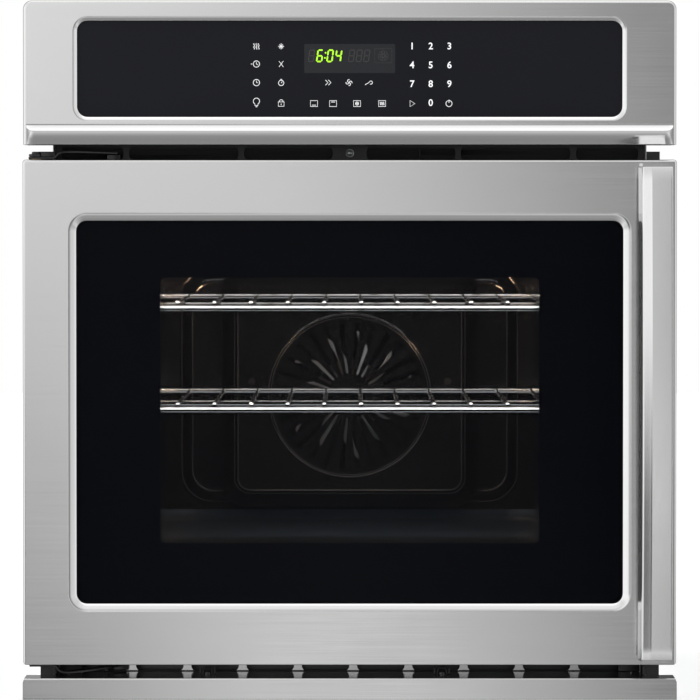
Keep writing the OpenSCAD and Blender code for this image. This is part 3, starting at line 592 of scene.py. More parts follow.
def make_outer_glass():
    """Tinted pane with a black printed border whose inner edge fades out in rows of dots."""
    y0, y1 = span("door_outer_glass")[2:4]
    rect, inner = front_of("door_outer_glass"), front_of("door_inner_glass")
    rings = [facing(grow(rect, -0.8), 14, y0), facing(rect, 15, y0 + 0.8), facing(rect, 15, y1 - 1.2),
             facing(grow(rect, -0.6), 14.4, y1 - 0.6)]
    Shape().solid(rings).make("outer_pane", pane, "door", ["door_outer_glass"],
                                                slot="door_glass")
    clear_part = [inner[0] + 13, inner[1] - 13, inner[2] + 6, inner[3] - 12]
    back, film, pitch = y1 - 0.3, 0.25, 2.3
    border = facing(grow(rect, -1), 14, back)
    band = Shape().loft([border, facing(grow(clear_part, 9), 13, back), facing(clear_part, 5, back)])
    band.loft([border, facing(grow(rect, -1), 14, back + film), facing(clear_part, 5, back + film),
               facing(clear_part, 5, back)])
    for row, radius in enumerate((0.85, 0.72, 0.58, 0.42)):
        inner = grow(clear_part, -(1.3 + row * 1.9))
        shift = row % 2
        across = round((inner[1] - inner[0]) / pitch)
        upward = round((inner[3] - inner[2]) / pitch)
        dots = [(inner[0] + (k + 0.5 * shift) * (inner[1] - inner[0]) / across, z)
                for z in inner[2:] for k in range(across + 1 - shift)]
        dots += [(x, inner[2] + (k + 0.5 * shift) * (inner[3] - inner[2]) / upward)
                 for x in inner[:2] for k in range(1, upward - shift)]
        for x, z in dots:
            dot = [(x + a, back + 0.12, z + b) for a, b in arc(0, 0, radius, 0, 300, 5)]
            band.add(dot, [tuple(range(6))])
    band.make("outer_glass_print", print_black, "door", slot="door_glass")


make_outer_glass()


# ---- handle

# The grip's section as (right of its left edge, behind its foremost line): dark flank, bright bead,
# slight facet, front face, right side and back.
GRIP = [(0.6, 12.9), (0.0, 12.3), (0.15, 11.8), (2.5, 6.9), (2.65, 6.1), (2.9, 4.9), (3.3, 3.8), (3.9, 2.9),
        (4.6, 2.35), (5.4, 2.05), (6.0, 1.92), (11.2, 0.8), (11.9, 0.58), (12.8, 0.33), (14, 0.285),
        (33.4, 0.03), (34.2, 0.01), (34.7, 0.04), (35.05, 0.16), (35.3, 0.4), (35.4, 0.8), (35.4, 12.0),
        (35.1, 12.7), (34.5, 13.0), (32, 13.0), (3.0, 13.0)]


def make_handle():
    """A grip that bows out in its middle, on two posts that flare towards the door."""
    x0, x1, y0, _, z0, z1 = span("handle_bar")
    door_face = span("door_skin")[2]
    middle, half = (z0 + z1) / 2, (z1 - z0) / 2
    wide, deep = max(dx for dx, dy in GRIP), max(dy for dx, dy in GRIP)
    cx, cy = (x1 - x0) / 2, 7
    bow = 12.0

    def front(z):
        """y of the bar's foremost line at height z."""
        return y0 + bow * ((z - middle) / half) ** 2

    def station(z, shrink=0.0):
        loop = []
        for dx, dy in GRIP:
            dx = dx + (cx - dx) / cx * shrink
            dy = dy + (cy - dy) / cy * shrink
            loop.append((x0 + dx * (x1 - x0) / wide, front(z) + dy, z))
        return loop
    heights = [z0 + 1 + (z1 - z0 - 2) * k / 40 for k in range(41)]
    loops = [station(z0, 1.0), station(z0 + 0.3, 0.35), station(z0 + 1)]
    loops += [station(z) for z in heights[1:-1]]
    loops += [station(z1 - 1), station(z1 - 0.3, 0.35), station(z1, 1.0)]
    Shape().solid(loops).make("handle_grip", steel_up, "door", ["handle_bar"])

    posts = Shape()
    px0, px1, _, _, _, pz1 = span("handle_posts")
    root = door_face - 0.1
    for upper in (True, False):
        loops = []
        for k in range(9):
            t = k / 8
            flare = 2.2 * (1 - t) ** 3
            ends = [pz1 - 57 + 16 * t - flare, pz1 + flare * 0.2]
            if not upper:
                ends = [2 * middle - z for z in reversed(ends)]
            y = root - t * (root - (front(z1) + deep) - 0.4)
            ring = outline([px0 + 1 - flare, px1 + flare * 0.5, *ends], 1.2, 4)
            loops.append([(x, y, z) for x, z in ring])
        posts.solid(loops)
    posts.make("handle_brackets", steel_up, "door", ["handle_posts"])


make_handle()


# ---- bottom trim

def make_bottom_trim():
    """Channel below the door, its top corners cut back a little."""
    x0, x1, y0, y1, z0, z1 = span("bottom_trim")
    shape = Shape()
    edge, foot, cut_back = 1.3, 0.35, 1.8
    side_y, shelf_x = -0.4, 312.8
    quarter = [radians(t) for t in range(0, 91, 15)]
    front = [(y0 + edge + 1, z1)]
    front += [(y0 + edge - edge * sin(t), z1 - edge + edge * cos(t)) for t in quarter]
    front += [(y0, z1 - edge - 0.6), (y0, z1 - 4.2), (y0, z0 + foot + 1)]
    front += [(y0 + foot - foot * cos(t), z0 + foot - foot * sin(t)) for t in quarter]
    front += [(y0 + foot + 1, z0), (y0 + 11, z0), (y0 + 11, z0 + 1), (y0 + foot + 1, z0 + 1)]

    def inset(z):
        return cut_back * max(0.0, (z - z1 + 4) / 4)
    shape.loft([[(x0 + inset(z), y, z) for y, z in front], [(x1 - inset(z), y, z) for y, z in front]],
               closed=False)
    side = [(y0 + 0.4, z0 + 1.4), (side_y, z0 + 1.4), (side_y, z1 - 0.1), (y0 + 1.2, z1 - 0.1),
            (y0 + 0.2, z1 - 1.5)]
    for end, sign in ((x0, 1), (x1, -1)):
        shape.add([(end + sign * inset(z) * 0.9, y, z) for y, z in side], [tuple(range(5))])
    for left, right, near, far in ((x0 + cut_back, x1 - cut_back, y0 + edge + 1, side_y),
                                   (-shelf_x, shelf_x, side_y, y1)):
        shape.add([(left, near, z1), (right, near, z1), (right, far, z1), (left, far, z1)], [(0, 1, 2, 3)])
    shape.make("foot_trim", steel, "case", ["bottom_trim"])


make_bottom_trim()


# ---- racks

def make_rack(node, name, body):
    """Frame rod bent to a loop, one cross rod and twelve wires with rounded tips."""
    _, x1, y0, y1, z0, z1 = span(node)
    rod, wire, corner = 3.0, 2.4, 18
    rail, top, lift = z0 + rod, z1 - 2.2, 6.2
    front, back = y0 + 3.5, y1 - 3.0
    half = x1 - rod
    shape = Shape()

    def level(y):
        """The frame rises behind to carry the raised rear rail."""
        t = min(max((y - (back - 46)) / 34, 0), 1)
        return rail + lift * (3 * t * t - 2 * t ** 3)
    loop = [(x, y, level(y)) for x, y in outline([-half, half, front, back], corner, 7)]
    shape.tube([(x, y, level(y)) for x, y, _ in finer(loop, 8)], rod, 16, closed=True)
    middle = front + 0.47 * (back - front)
    shape.tube([(-half + 1, middle, rail), (half - 1, middle, rail)], rod - 0.2, 16)
    tip = front - 5.2
    rounding = [(0, -0.2, 0.7), (0.35, 0, 1.7), (1.1, 0, 2.5), (2.1, 0, 2.75), (4, 0, wire)]
    for k in range(12):
        x = (k - 5.5) * 39.0 - 7.5
        run = [(x, tip + behind, top + above) for behind, above, _ in rounding]
        radii = [radius for _, _, radius in rounding]
        run += [(x, y, top) for y in (front + 12, middle, back - 60, back - 40)]
        run += [(x, back - 40 + 4.2 * j, top + 0.9 * (j / 9) ** 2) for j in range(1, 10)]
        shape.tube(run, radii + [wire] * (len(run) - len(radii)), 12)
    return shape.make(name, chrome, body, [node])


racks = [make_rack("lower_rack", "lower_rack_wire", "low_rack"),
         make_rack("upper_rack", "upper_rack_wire", "high_rack")]


# ---- cavity

def make_back_wall():
    """Enamel wall pressed forward in its middle, with beads on its bends coloured lighter than the enamel as
    painted highlights, brighter arcs as painted glints, and a cove along the floor.
    """
    x0, x1, y0, _, z0, z1 = span("cavity_back")
    bx0, bx1, by0, _, bz0, bz1 = span("fan_baffle")
    floor_x0, floor_x1, _, _, _, floor_top = span("cavity_floor")
    fan_z = sum(span("convection_fan")[4:]) / 2
    pressed = 10
    wall = y0 + pressed
    sheet, field = [x0, x1, z0, z1], [-188, 188, z0 + 29.5, z1 - 116]
    rings = [facing(sheet, 1, wall), facing(grow(field, 12), 42, wall)]
    for k in range(13):
        t = k / 12
        w = 8.5 - 17 * t
        rings.append(facing(grow(field, w), 30 + w, wall - pressed * (3 * t * t - 2 * t ** 3)))
    rings.append(facing(grow(field, -11), 19, wall - pressed))
    shape = Shape().loft(rings, caps=(False, True))
    shape.loft([facing(sheet, 1, wall), facing(sheet, 1, wall + 2)], caps=(False, True))
    shape.make("rear_wall_pressing", enamel, "case", ["cavity_back"])

    # Beads round the field, the baffle and the fan ring; their lighter colour is a painted highlight.
    beads, bead_top = Shape(), bz1 - 44
    for rect, radius, y, thick in ((grow(field, -7), 23, wall - pressed, 0.9),
                                   (grow(field, 5.5), 35, wall - 1.9, 0.7),
                                   ([bx0 + 18, bx1 - 18, bz0 + 21, bz1 - 18], 14, by0 + 1.6, 0.9),
                                   ([bx0 + 14, bx1 - 14, bz0 + 17, bz1 - 14], 18, by0 + 5.2, 0.6)):
        loop = [point for point in facing(rect, radius, y, 10) if point[2] < bead_top]
        start = max(range(len(loop)), key=lambda i: dist(loop[i], loop[i - 1]))
        path = loop[start:] + loop[:start]
        beads.tube([(path[0][0], y, bead_top)] + path + [(path[-1][0], y, bead_top)], thick, 10)
    for radius, thick in ((93, 0.7), (90.4, 0.6)):
        circle = arc(0, fan_z, radius, 0, 360, 96)[:-1]
        beads.tube([(x, by0 + 0.2, z) for x, z in circle], thick, 10, closed=True)
    beads.make("rear_wall_beads", bead_painted_highlight)

    # Arcs along the ring's foot, the field's lower corners and a line along the baffle's foot, coloured
    # brighter: painted glints.
    glints = Shape().tube([(x, by0 - 0.3, z) for x, z in arc(0, fan_z, 92.4, 208, 332, 40)], 0.55, 10)
    inner, bend = grow(field, -7.6), 23
    for cx, turn in ((inner[0] + bend, 195), (inner[1] - bend, 275)):
        corner = arc(cx, inner[2] + bend, bend, turn, turn + 70, 14)
        glints.tube([(x, wall - pressed - 0.5, z) for x, z in corner], 0.55, 10)
    glints.tube([(x, by0 + 0.9, bz0 + 20.8) for x in (bx0 + 34, 0, bx1 - 34)], 0.7, 10)
    glints.make("rear_wall_painted_glints", glint_painted_highlight)

    cove = [(34, 0.1), (22, 0.9), (12, 3.4), (5, 7.6), (1, 12.4)]
    loops = [[(x, wall - ahead, floor_top + above) for ahead, above in cove]
             for x in (floor_x0 + 6, floor_x1 - 6)]
    Shape().loft(loops, closed=False).make("floor_cove", floor_enamel)


make_back_wall()


def make_fan():
    """Disc and hub, and a wheel of blades cut from a dish, each bent by a slightly different amount."""
    x0, x1, y0, y1, z0, z1 = span("convection_fan")
    cz, radius, deep = (z0 + z1) / 2, (x1 - x0) / 2 - 1, y1 - y0
    rim = radius * 0.54
    disc = Shape()
    edge = [(0, 10), (0.1, radius * 0.52), (0.6, rim), (1.6, rim), (1.7, 10)]
    disc.lathe((0, y0 + 17.2, cz), "y", edge, 48)
    disc.lathe((0, y0 + 2, cz), "y", [(0, 5), (0.6, 7.5), (6, 8), (7, 12), (8, 12.2), (16, 12.2), (17, 11)])
    disc.make("fan_wheel_disc", oxide, "fan")
    wheel = Shape().lathe((0, y0, cz), "y", [(0, 2.2), (1, 4), (20, 4), (deep - 1, 4), (deep, 3)], 16)
    blades, thick = 11, 0.4
    section = [(across, thick) for across in (-1, -0.5, 0, 0.5, 1)]
    section += [(across, -thick) for across in (1, 0, -1)]
    for k in range(blades):
        turn = 2 * pi * k / blades
        twist = radians(46 + 16 * sin(k * 2.3))
        loops = []
        for j in range(9):
            t = j / 8
            r = 14 + (radius - 15) * t
            half = 7.5 * sin(pi * (0.2 + 0.74 * t)) ** 0.8
            sweep = turn + 0.3 * t * t
            loop = []
            for across, face in section:
                side = across * half * cos(twist) + face * sin(twist)
                depth = -across * half * sin(twist) + face * cos(twist) - 1.2 * (1 - across ** 2)
                loop.append((r * cos(sweep) - side * sin(sweep), y0 + 13 + depth,
                             cz + r * sin(sweep) + side * cos(sweep)))
            loops.append(loop)
        wheel.solid(loops)
    return wheel.make("fan_wheel_blades", fan_sheet, "fan", ["convection_fan"])


fan_wheel = make_fan()


# ---- gaps above and below the door

FOOT_TOP = span("bottom_trim")[5]


def make_vent_shade_louvres():
    """Dark sloping blades behind the top strip's slots, in three bays each side of its middle, that paint
    shade into the slots.
    """
    _, _, _, back, z0, _ = span("upper_vent_strip")
    louvres = Shape()
    for a, b in ((18, 112), (118, 234), (240, 306)):
        for lo, hi in ((a, b), (-b, -a)):
            for k in range(3):
                low = z0 + 2 + 5.2 * k
                blade = [(back + 0.4, low + 5.4), (back + 0.2, low + 5.0), (back + 6.5, low - 0.6),
                         (back + 7.0, low - 0.3)]
                louvres.solid([[(x, y, z) for y, z in blade] for x in (lo - 3, hi + 3)])
    louvres.make("vent_shade_louvres", motor_and_shade_paint)


def make_trim_plates():
    """End plates and a foot strip round the bottom vent, and a dark sheet behind its slots that paints shade
    into them.
    """
    _, x1, y0, _, z0, z1 = span("lower_vent_strip")
    slots_end, shelf_x = 287, 311.2
    plates = Shape()

    def pair(inner, outer, y, z, edge):
        for sign in (-1, 1):
            plates.block(sorted((sign * inner, sign * outer)), y, z, edge)
    pair(x1 - 1, slots_end, (y0 - 5, y0 - 3.5), (z0 + 1.2, z1 - 1), 0.4)
    pair(x1 - 0.4, x1 + 1.7, (1, y0 - 3), (z0 + 1.4, z0 + 15), 0.4)
    plates.block((-slots_end, slots_end), (y0 - 1.4, y0 - 0.3), (FOOT_TOP, FOOT_TOP + 0.9), 0.2)
    pair(shelf_x, shelf_x + 3.4, (-2.3, -1.6), (FOOT_TOP + 0.4, 17), 0.2)
    plates.make("trim_end_plates", black_paint)
    # A dark sheet behind the bottom vent's slots: painted shade.
    Shape().block((-300, 300), (58, 59.5), (z0 + 0.3, z1 - 2), 0.3).make("base_shade_curtain", motor_and_shade_paint)


def make_trim_clips():
    """Two wire arches on the bottom trim, each between a pair of small blocks."""
    clips, bend = Shape(), [pi * k / 12 for k in range(13)]
    for x in (-151, 98):
        arch = [(x + 4.6 * cos(t), 9, FOOT_TOP + 3.4 + 4.4 * sin(t)) for t in bend]
        clips.tube([(x + 4.6, 9, FOOT_TOP + 0.6)] + arch + [(x - 4.6, 9, FOOT_TOP + 0.6)], 1.1, 10)
        for side in (-1, 1):
            block_x = sorted((x + side * 6.8, x + side * 8.6))
            clips.block(block_x, (6, 12), (FOOT_TOP + 0.2, FOOT_TOP + 7.2), 0.5)
    clips.make("trim_clips", black_paint)


def make_screw_and_hook():
    """The screw in the top strip's middle and the wire hook at the latch side's foot."""
    head = [(-1.9, 0.4), (-1.7, 1.3), (-1.2, 2.2), (0, 2.6), (0.2, 4.1), (1.2, 4.3)]
    screw = Shape().lathe((0.3, span("upper_vent_strip")[2] - 1.6, 555.5), "y", head)
    screw.make("vent_screw_head", zinc)
    hook = [(289, 14.4), (298, 14.6), (302, 14.2), (304, 13.2), (304.6, 12)]
    Shape().tube([(x, 24, z) for x, z in hook], 0.8, 10).make("stop_hook", zinc)


make_vent_shade_louvres()
make_trim_plates()
make_trim_clips()
make_screw_and_hook()


# ---- hinge arms

# Each arm's route along its middle, from beyond the pin into the case.
PIN = (-330, -22)
LOWER_ARM = [(-338, -22, 14.6), (-313, -22, 14.6), (-310, -22, 13.6), (-307, -22, 9.4), (-304.5, -22, 7.6),
             (-300, -21, 7.0), (-292, -17, 7.2), (-278, -6, 8.0), (-262, 8, 9.2), (-246, 26, 11.0),
             (-240, 37, 11.6)]
UPPER_ARM = [(-338, -22, 549.9), (-313, -22, 549.9), (-310, -22, 550.8), (-306.5, -22, 554.6),
             (-304, -22, 555.8), (-298, -21, 556.2), (-290, -17, 556.3), (-276, -8, 556.0),
             (-262, 0, 555.6), (-250, 8, 555.2)]


def strap(route, half_width=7, half_thick=1.15):
    """Flat strap with broken edges along a route."""
    section = [(-1, -0.6), (-0.95, -1), (0.95, -1), (1, -0.6), (1, 0.6), (0.95, 1), (-0.95, 1), (-1, 0.6)]
    loops = []
    for i, place in enumerate(Vector(point) for point in route):
        before, after = Vector(route[max(i - 1, 0)]), Vector(route[min(i + 1, len(route) - 1)])
        along = (after - before).normalized()
        side = Vector((-along.y, along.x, 0)).normalized() * half_width
        rise = side.cross(along).normalized() * half_thick
        rise = rise if rise.z > 0 else -rise
        loops.append([tuple(place + a * side + b * rise) for a, b in section])
    return Shape().solid(loops)


def make_hinge_arms():
    """Gooseneck arms that carry the door's pins above and below it."""
    z0, z1 = span("bottom_hinge_bracket")[4:]
    arm = strap(LOWER_ARM)
    arm.lathe((*PIN, 0), "z", [(13.2, 3.5), (13.6, 5), (z1 - 1, 5), (z1, 4)], 20)
    arm.block((-252, -236), (36, 44), (z0, 24))
    arm.block((-262, -258), (36, 43), (2.6, 15), 0.4)
    arm.make("lower_hinge_arm", arm_paint, "case", ["bottom_hinge_bracket"])
    z0 = span("top_hinge_bracket")[4]
    arm = strap(UPPER_ARM)
    arm.lathe((*PIN, 0), "z", [(z0, 4), (z0 + 1, 5), (548.8, 5), (556, 5), (556.6, 4)], 20)
    arm.lathe((*PIN, 0), "z", [(551, 6), (551.4, 8), (553.8, 8), (554.2, 7.4)], 6)
    arm.block((-325, -310), (-28, -16), (551, 556.4), 0.5)
    arm.block((-257, -243), (5, 13), (546, 554))
    arm.make("upper_hinge_arm", arm_paint, "case", ["top_hinge_bracket"])


make_hinge_arms()


# ---- gasket and liner

def make_gasket():
    """Woven cord round the cavity's mouth, slightly uneven, with clips behind it."""
    y0, y1 = span("door_gasket")[2:4]
    radius = 4.0
    path = finer(outline(grow(front_of("door_gasket"), -radius - 0.2), 14, 10), 4)
    radii = [radius + 0.22 * sin(k * 1.9) for k in range(len(path))]
    cord_path = [(x, y0 + radius + 0.4, z) for x, z in path]
    Shape().tube(cord_path, radii, 14, closed=True).make("gasket_cord", cord, "case", ["door_gasket"])
    clips = Shape()
    for x, z in path[::26]:
        clips.lathe((x, y1 - 1.6, z), "y", [(0, 0.8), (0.3, 2.6), (1.2, 2.8), (1.6, 0.5)], 10)
    clips.make("gasket_clips", zinc)


make_gasket()


def make_liner():
    """Enamelled inside of the door: a rounded edge, a raised plug and the opening for the inner glass."""
    x0, x1, y0, y1, z0, z1 = span("door_liner")
    ix0, ix1, _, _, iz0, iz1 = span("door_inner_glass")
    flat = y1 - 5
    rect, plug = [x0, x1, z0, z1], [-258, 258, z0 + 118, z1 - 21.5]
    opening = [ix0 + 6, ix1 - 6, iz0 + 2.5, iz1 - 6]
    edge = [(0, y0 - flat), (0, -2.2), (-0.3, -1.1), (-1, -0.35), (-2.2, 0), (-4, 0)]
    rings = [facing(grow(rect, w), 3, flat + out) for w, out in edge]
    shoulder = [(6, 0), (4.4, 0), (2.9, 0.35), (1.9, 1.2), (1.3, 2.5), (0.6, 3.8), (-0.5, 4.65), (-2, 5),
                (-4, 5)]
    rings += [facing(grow(plug, w), 14 + w, flat + out) for w, out in shoulder]
    lip = [(2.8, 5), (1.6, 5), (0.7, 4.7), (0.15, 4.0), (0, 3.2), (0, 2.6)]
    rings += [facing(grow(opening, w), 10 + w, flat + out) for w, out in lip]
    Shape().loft(rings).make("liner_pressing", enamel, "door", ["door_liner"])


make_liner()


# ---- legends on the control glass

GLASS = span("control_glass")
GLASS_TOP = GLASS[5]
INK_FRONT = GLASS[2] - 0.16


def stroke(shape, points, width=0.62):
    """Flat raised line through points (x, z), closed where the last point is the first."""
    closed = dist(points[0], points[-1]) < 1e-6
    points = points[:-1] if closed else points
    count, half = len(points), width / 2
    left, right = [], []
    for i, (x, z) in enumerate(points):
        before = points[i - 1] if (i or closed) else points[0]
        after = points[(i + 1) % count] if (i < count - 1 or closed) else points[-1]
        dx, dz = after[0] - before[0], after[1] - before[1]
        length = hypot(dx, dz) or 1
        nx, nz = -dz / length * half, dx / length * half
        left.append((x + nx, z + nz))
        right.append((x - nx, z - nz))
    raised = INK_FRONT + 0.12
    loops = [[(x, y, z) for x, z in side]
             for side, y in ((left, raised), (left, INK_FRONT), (right, INK_FRONT), (right, raised))]
    if closed:
        loops = [loop + loop[:1] for loop in loops]
    shape.loft(loops, closed=False)


def ring(a, b, radius, start=0, stop=360):
    """Arc or whole circle in as many points as a symbol needs."""
    return arc(a, b, radius, start, stop, 20)


def wave(a, height):
    """Upright wave through (a, 0), reaching height above and below it."""
    return [(a + 0.16 * sin(t / 6 * pi * 2), height * (t / 6 - 1)) for t in range(13)]


CASE = [(-0.9, -0.75), (0.9, -0.75), (0.9, 0.75), (-0.9, 0.75), (-0.9, -0.75)]
# Strokes of each symbol, which is about 1 high above and below its middle.
ICONS = {
    "steam": [wave(a, 0.8) for a in (-0.6, 0, 0.6)],
    "clean": [[(-0.8, 0), (0.8, 0)], [(0, -0.8), (0, 0.8)], [(-0.5, -0.5), (0.5, 0.5)],
              [(-0.5, 0.5), (0.5, -0.5)]],
    "delay": [ring(0, 0, 0.85), [(0, 0.5), (0, 0), (0.4, -0.25)], [(-1.5, 0), (-1.1, 0)]],
    "cook_time": [[(-0.6, 0.8), (0.6, 0.8), (-0.6, -0.8), (0.6, -0.8), (-0.6, 0.8)]],
    "clock": [ring(0, 0, 0.85), [(0, 0.55), (0, 0), (0.45, 0)]],
    "timer": [ring(0, -0.1, 0.72), [(-0.25, 0.85), (0.25, 0.85)], [(0, -0.1), (0.3, 0.25)]],
    "lamp": [ring(0, 0.2, 0.68, -60, 240), [(-0.34, -0.4), (-0.34, -0.75), (0.34, -0.75), (0.34, -0.4)],
             [(-0.2, -1.0), (0.2, -1.0)]],
    "lock": [[(-0.62, -0.9), (0.62, -0.9), (0.62, 0.05), (-0.62, 0.05), (-0.62, -0.9)],
             ring(0, 0.1, 0.42, 0, 180), [(0, -0.3), (0, -0.6)]],
    "preheat": [[(-0.7, 0.7), (0, 0), (-0.7, -0.7)], [(0.1, 0.7), (0.8, 0), (0.1, -0.7)]],
    "fan": [ring(a, b, 0.4, turn - 20, turn + 200)
            for a, b, turn in ((0.42, 0, 0), (0, 0.42, 90), (-0.42, 0, 180), (0, -0.42, 270))],
    "probe": [[(-1.1, -0.6), (0.1, 0.1)], ring(0.5, 0, 0.42, -120, 150)],
    "heat_below": [CASE, [(-0.5, -0.4), (0.5, -0.4)]],
    "heat_above": [CASE, [(-0.5, 0.4), (0.5, 0.4)]],
    "heat_fan": [CASE, ring(0, 0, 0.4), [(-0.28, 0), (0.28, 0)], [(0, -0.28), (0, 0.28)]],
    "keep_warm": [CASE] + [wave(a, 0.4) for a in (-0.4, 0, 0.4)],
    "start": [[(-0.5, -0.75), (0.7, 0), (-0.5, 0.75), (-0.5, -0.75)]],
    "stop": [ring(0, 0, 0.75), [(0, 0.15), (0, 0.95)]],
}


def make_legends():
    """The function symbols: two columns at the left, a row under the display and a row at the foot."""
    small, big = 3.9, 4.83
    key_rows = [30.5, 49.0, 68.5]
    symbols = [(kind, x, drop, small) for x, kinds in ((-98, ("steam", "delay", "clock")),
                                                       (-72, ("clean", "cook_time", "timer")))
               for kind, drop in zip(kinds, key_rows)]
    symbols += [("lamp", -98, 89, big), ("lock", -72, 89, big)]
    symbols += [(kind, x, 68.5, small) for kind, x in (("preheat", -22.8), ("fan", -0.7), ("probe", 20.3))]
    symbols += [(kind, x, 90.5, small * 1.05) for kind, x in (("heat_below", -37.5), ("heat_above", -17.5),
                                                              ("heat_fan", 7.7), ("keep_warm", 34))]
    symbols += [(kind, x, 90.5, small * 1.1) for kind, x in (("start", 65.5), ("stop", 104.3))]
    shape = Shape()
    for kind, x, drop, size in symbols:
        for points in ICONS[kind]:
            stroke(shape, [(x + a * size, GLASS_TOP - drop + b * size) for a, b in points])
    shape.make("legend_symbols", ink_painted_glow, slot="black_glass", smooth=20)


def add_digit(shape, text, x, z, height):
    """A numeral in Blender's own plain face, its middle at (x, z)."""
    curve = bpy.data.curves.new("number", "FONT")
    curve.body = text
    curve.align_x = curve.align_y = "CENTER"
    curve.size = height * 1.38 * MM
    curve.extrude = 0.06 * MM
    curve.offset = 0.16 * MM
    curve.resolution_u = 3
    writer = put("number_writer", curve)
    bpy.context.view_layer.update()
    mesh = bpy.data.meshes.new_from_object(writer.evaluated_get(bpy.context.evaluated_depsgraph_get()))
    bpy.data.objects.remove(writer)
    points = [(x + v.co.x / MM, INK_FRONT - v.co.z / MM + 0.06, z + v.co.y / MM) for v in mesh.vertices]
    shape.add(points, [tuple(p.vertices) for p in mesh.polygons])


def make_numbers():
    """Keypad numerals 1 to 9 in three columns, and 0 below their middle."""
    shape = Shape()
    for row, keys in enumerate(("123", "456", "789", " 0")):
        for column, text in enumerate(keys):
            if text != " ":
                add_digit(shape, text, 65.5 + column * 19.6, GLASS_TOP - 30.5 - row * 19.8, 7.2)
    shape.make("legend_numbers", ink_painted_glow, slot="black_glass", smooth=20)


SEGMENTS = {"a": ((0, 1), (1, 1)), "b": ((1, 1), (1, 0.5)), "c": ((1, 0.5), (1, 0)), "d": ((0, 0), (1, 0)),
            "e": ((0, 0), (0, 0.5)), "f": ((0, 0.5), (0, 1)), "g": ((0, 0.5), (1, 0.5))}
DIGITS = {"0": "abcdef", "4": "bcfg", "6": "acdefg", "8": "abcdefg"}
SLANT = 0.14


def seven_segment(shape, digit, x, z, thick):
    """A digit of seven bars, its lower left corner at (x, z)."""
    for key in DIGITS[digit]:
        p, q = [Vector((a * 5.2, b * 12.0)) for a, b in SEGMENTS[key]]
        along = (q - p).normalized()
        p, q = p + along * thick * 0.62, q - along * thick * 0.62
        side = Vector((-along.y, along.x)) * thick / 2
        bar = [p - along * thick / 2, p + side, q + side, q + along * thick / 2, q - side, p - side]
        points = [(x + v.x + SLANT * v.y, z + v.y) for v in bar]
        front, back = [[(a, y, b) for a, b in points] for y in (INK_FRONT, INK_FRONT + 0.1)]
        shape.add(front + back,
                  [tuple(range(6))] + [(i, (i + 1) % 6, (i + 1) % 6 + 6, i + 6) for i in range(6)])


def make_display():
    """Display window with the lit clock and, barely seen, the unlit digits, fan and frame."""
    y = INK_FRONT + 0.1
    window = outline([-47.8, 47.8, GLASS_TOP - 58.5, GLASS_TOP - 28], 1.2, 3)
    pane_shape = Shape().slab(window, y, GLASS[2] + 0.02, 0.02)
    pane_shape.make("display_window", display_tint, slot="black_glass")
    z = GLASS_TOP - 48
    digits, dim = Shape(), Shape()
    for digit, x in (("6", -34.8), ("0", -24), ("4", -15.2)):
        seven_segment(digits, digit, x, z + 1.6, 1.6)
    for dz in (3.6, 9.0):
        dot = [(-27.4 + a + SLANT * dz, z + 1 + dz + b) for a, b in outline([0, 1.6, 0, 1.6], 0.3, 1)]
        digits.slab(dot, INK_FRONT, y, 0.02)
    digits.make("clock_digits", lit, slot="black_glass", smooth=20)
    for x in (-43.5, -1.5, 6.5, 14.5):
        seven_segment(dim, "8", x, z + 1.6, 1.0)
    cx, cz = 35.2, z + 7.6
    for k in range(8):
        turns = [(r, k * pi / 4 + 0.12 * r) for r in (1.0, 2.2, 3.4, 4.4)]
        stroke(dim, [(cx + r * cos(t), cz + r * sin(t)) for r, t in turns], 0.9)
    stroke(dim, ring(cx, cz, 5.2), 0.5)
    left, right, low, high = cx - 9, cx + 9, z + 0.2, z + 15
    stroke(dim, [(left, low), (right, low), (right, high), (left, high), (left, low)], 0.5)
    dim.make("clock_unlit", ghost, slot="black_glass", smooth=20)


make_legends()
make_numbers()
make_display()


# ---- stage and lamps

def make_stage():
    """White floor and the shelf that the oven's base stands on, both kept out of every mirror."""
    low = cad_box[0][2] / MM - 0.6
    disc = [[(x, y, low) for x, y in outline([-r, r, -r, r], r * 0.999, 24)] for r in (1, 9000)]
    floor = Shape().loft(disc, caps=(True, False))
    shelf = Shape().block((-330, 330), (4, 590), (low, -0.3), 1)
    for name, shape in (("studio_floor", floor), ("studio_shelf", shelf)):
        piece = put(name, shape.mesh(name, studio_white))
        piece.visible_glossy = False


make_stage()


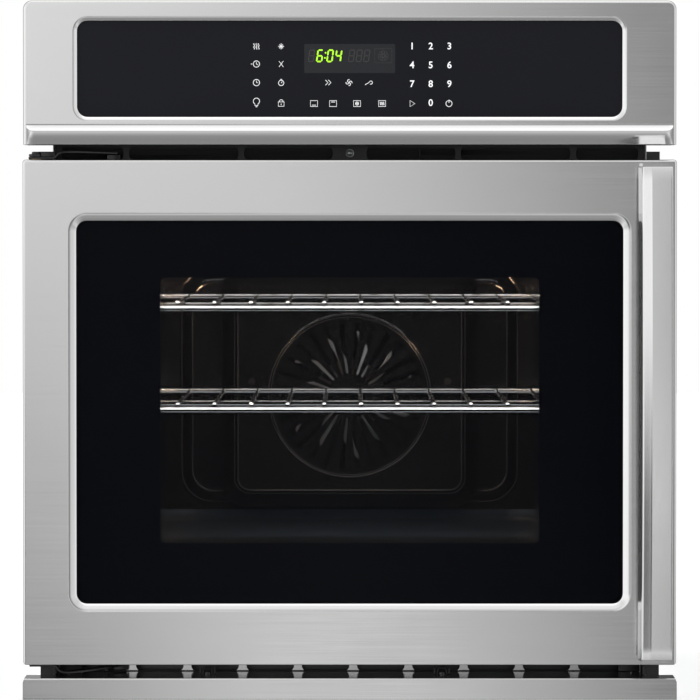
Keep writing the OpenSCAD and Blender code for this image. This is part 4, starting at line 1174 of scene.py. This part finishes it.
def shine_only_on(light, pieces, unblocked=False):
    """Keep a light off everything but the named pieces; unblocked lets nothing shade them from it."""
    receivers = bpy.data.collections.new(light.name + "_lit")
    for piece in pieces:
        receivers.objects.link(piece)
    light.light_linking.receiver_collection = receivers
    if unblocked:
        light.light_linking.blocker_collection = bpy.data.collections.new(light.name + "_blockers")


def light_cavity():
    """Two warm lamps, soft fills from the ceiling, and lights that only the racks or the fan catch."""
    lamp, roof, floor = span("lamp_bulbs"), span("cavity_ceiling")[4], span("cavity_floor")[5]
    for sign in (-1, 1):
        place = (sign * 250, (lamp[2] + lamp[3]) / 2, (lamp[4] + lamp[5]) / 2)
        data = bpy.data.lights.new("oven_lamp", "POINT")
        data.shadow_soft_size = 10 * MM
        data.energy = 3.4
        data.color = (1.0, 0.66, 0.42)
        put("oven_lamp", data).location = Vector(place) * MM
    warm, cool, white = (1, 0.98, 0.96), (0.9, 0.95, 1), (1, 1, 1)
    middle, ledge = 205, 370
    fills = [area_light("cavity_top_fill", (0, middle, roof - 3), (0, middle, 0), 500, 0.15, warm, 370),
             area_light("cavity_back_edge", (0, ledge, roof - 3), (0, ledge, 0), 470, 0.7, white, 80)]
    wash = area_light("back_wall_wash", (0, 150, 300), (0, 460, 290), 440, 1.25, (0.97, 0.98, 1), 250)
    wash.visible_glossy = False
    rack_fills = [area_light("rack_top_fill", (0, middle, roof - 4), (0, middle, 0), 500, 0.6, warm, 370),
                  area_light("rack_low_fill", (0, middle, floor + 3), (0, middle, 900), 500, 0.4, cool, 370)]
    for rack in ("lower_rack", "upper_rack"):
        _, _, y0, _, z0, _ = span(rack)
        place, aim = (0, y0 - 9, z0 + 17), (0, y0, z0 + 15)
        rack_fills.append(area_light("rack_glint", place, aim, 490, 0.24, white, 26))
    for light in rack_fills:
        shine_only_on(light, racks)
    _, _, y0, _, z0, z1 = span("convection_fan")
    wheel_fill = area_light("wheel_fill", (60, y0 - 90, z1 + 30), (0, y0, (z0 + z1) / 2), 110, 0.6)
    shine_only_on(wheel_fill, [fan_wheel], unblocked=True)
    for light in fills + rack_fills + [wheel_fill, wash]:
        light.visible_camera = False


light_cavity()
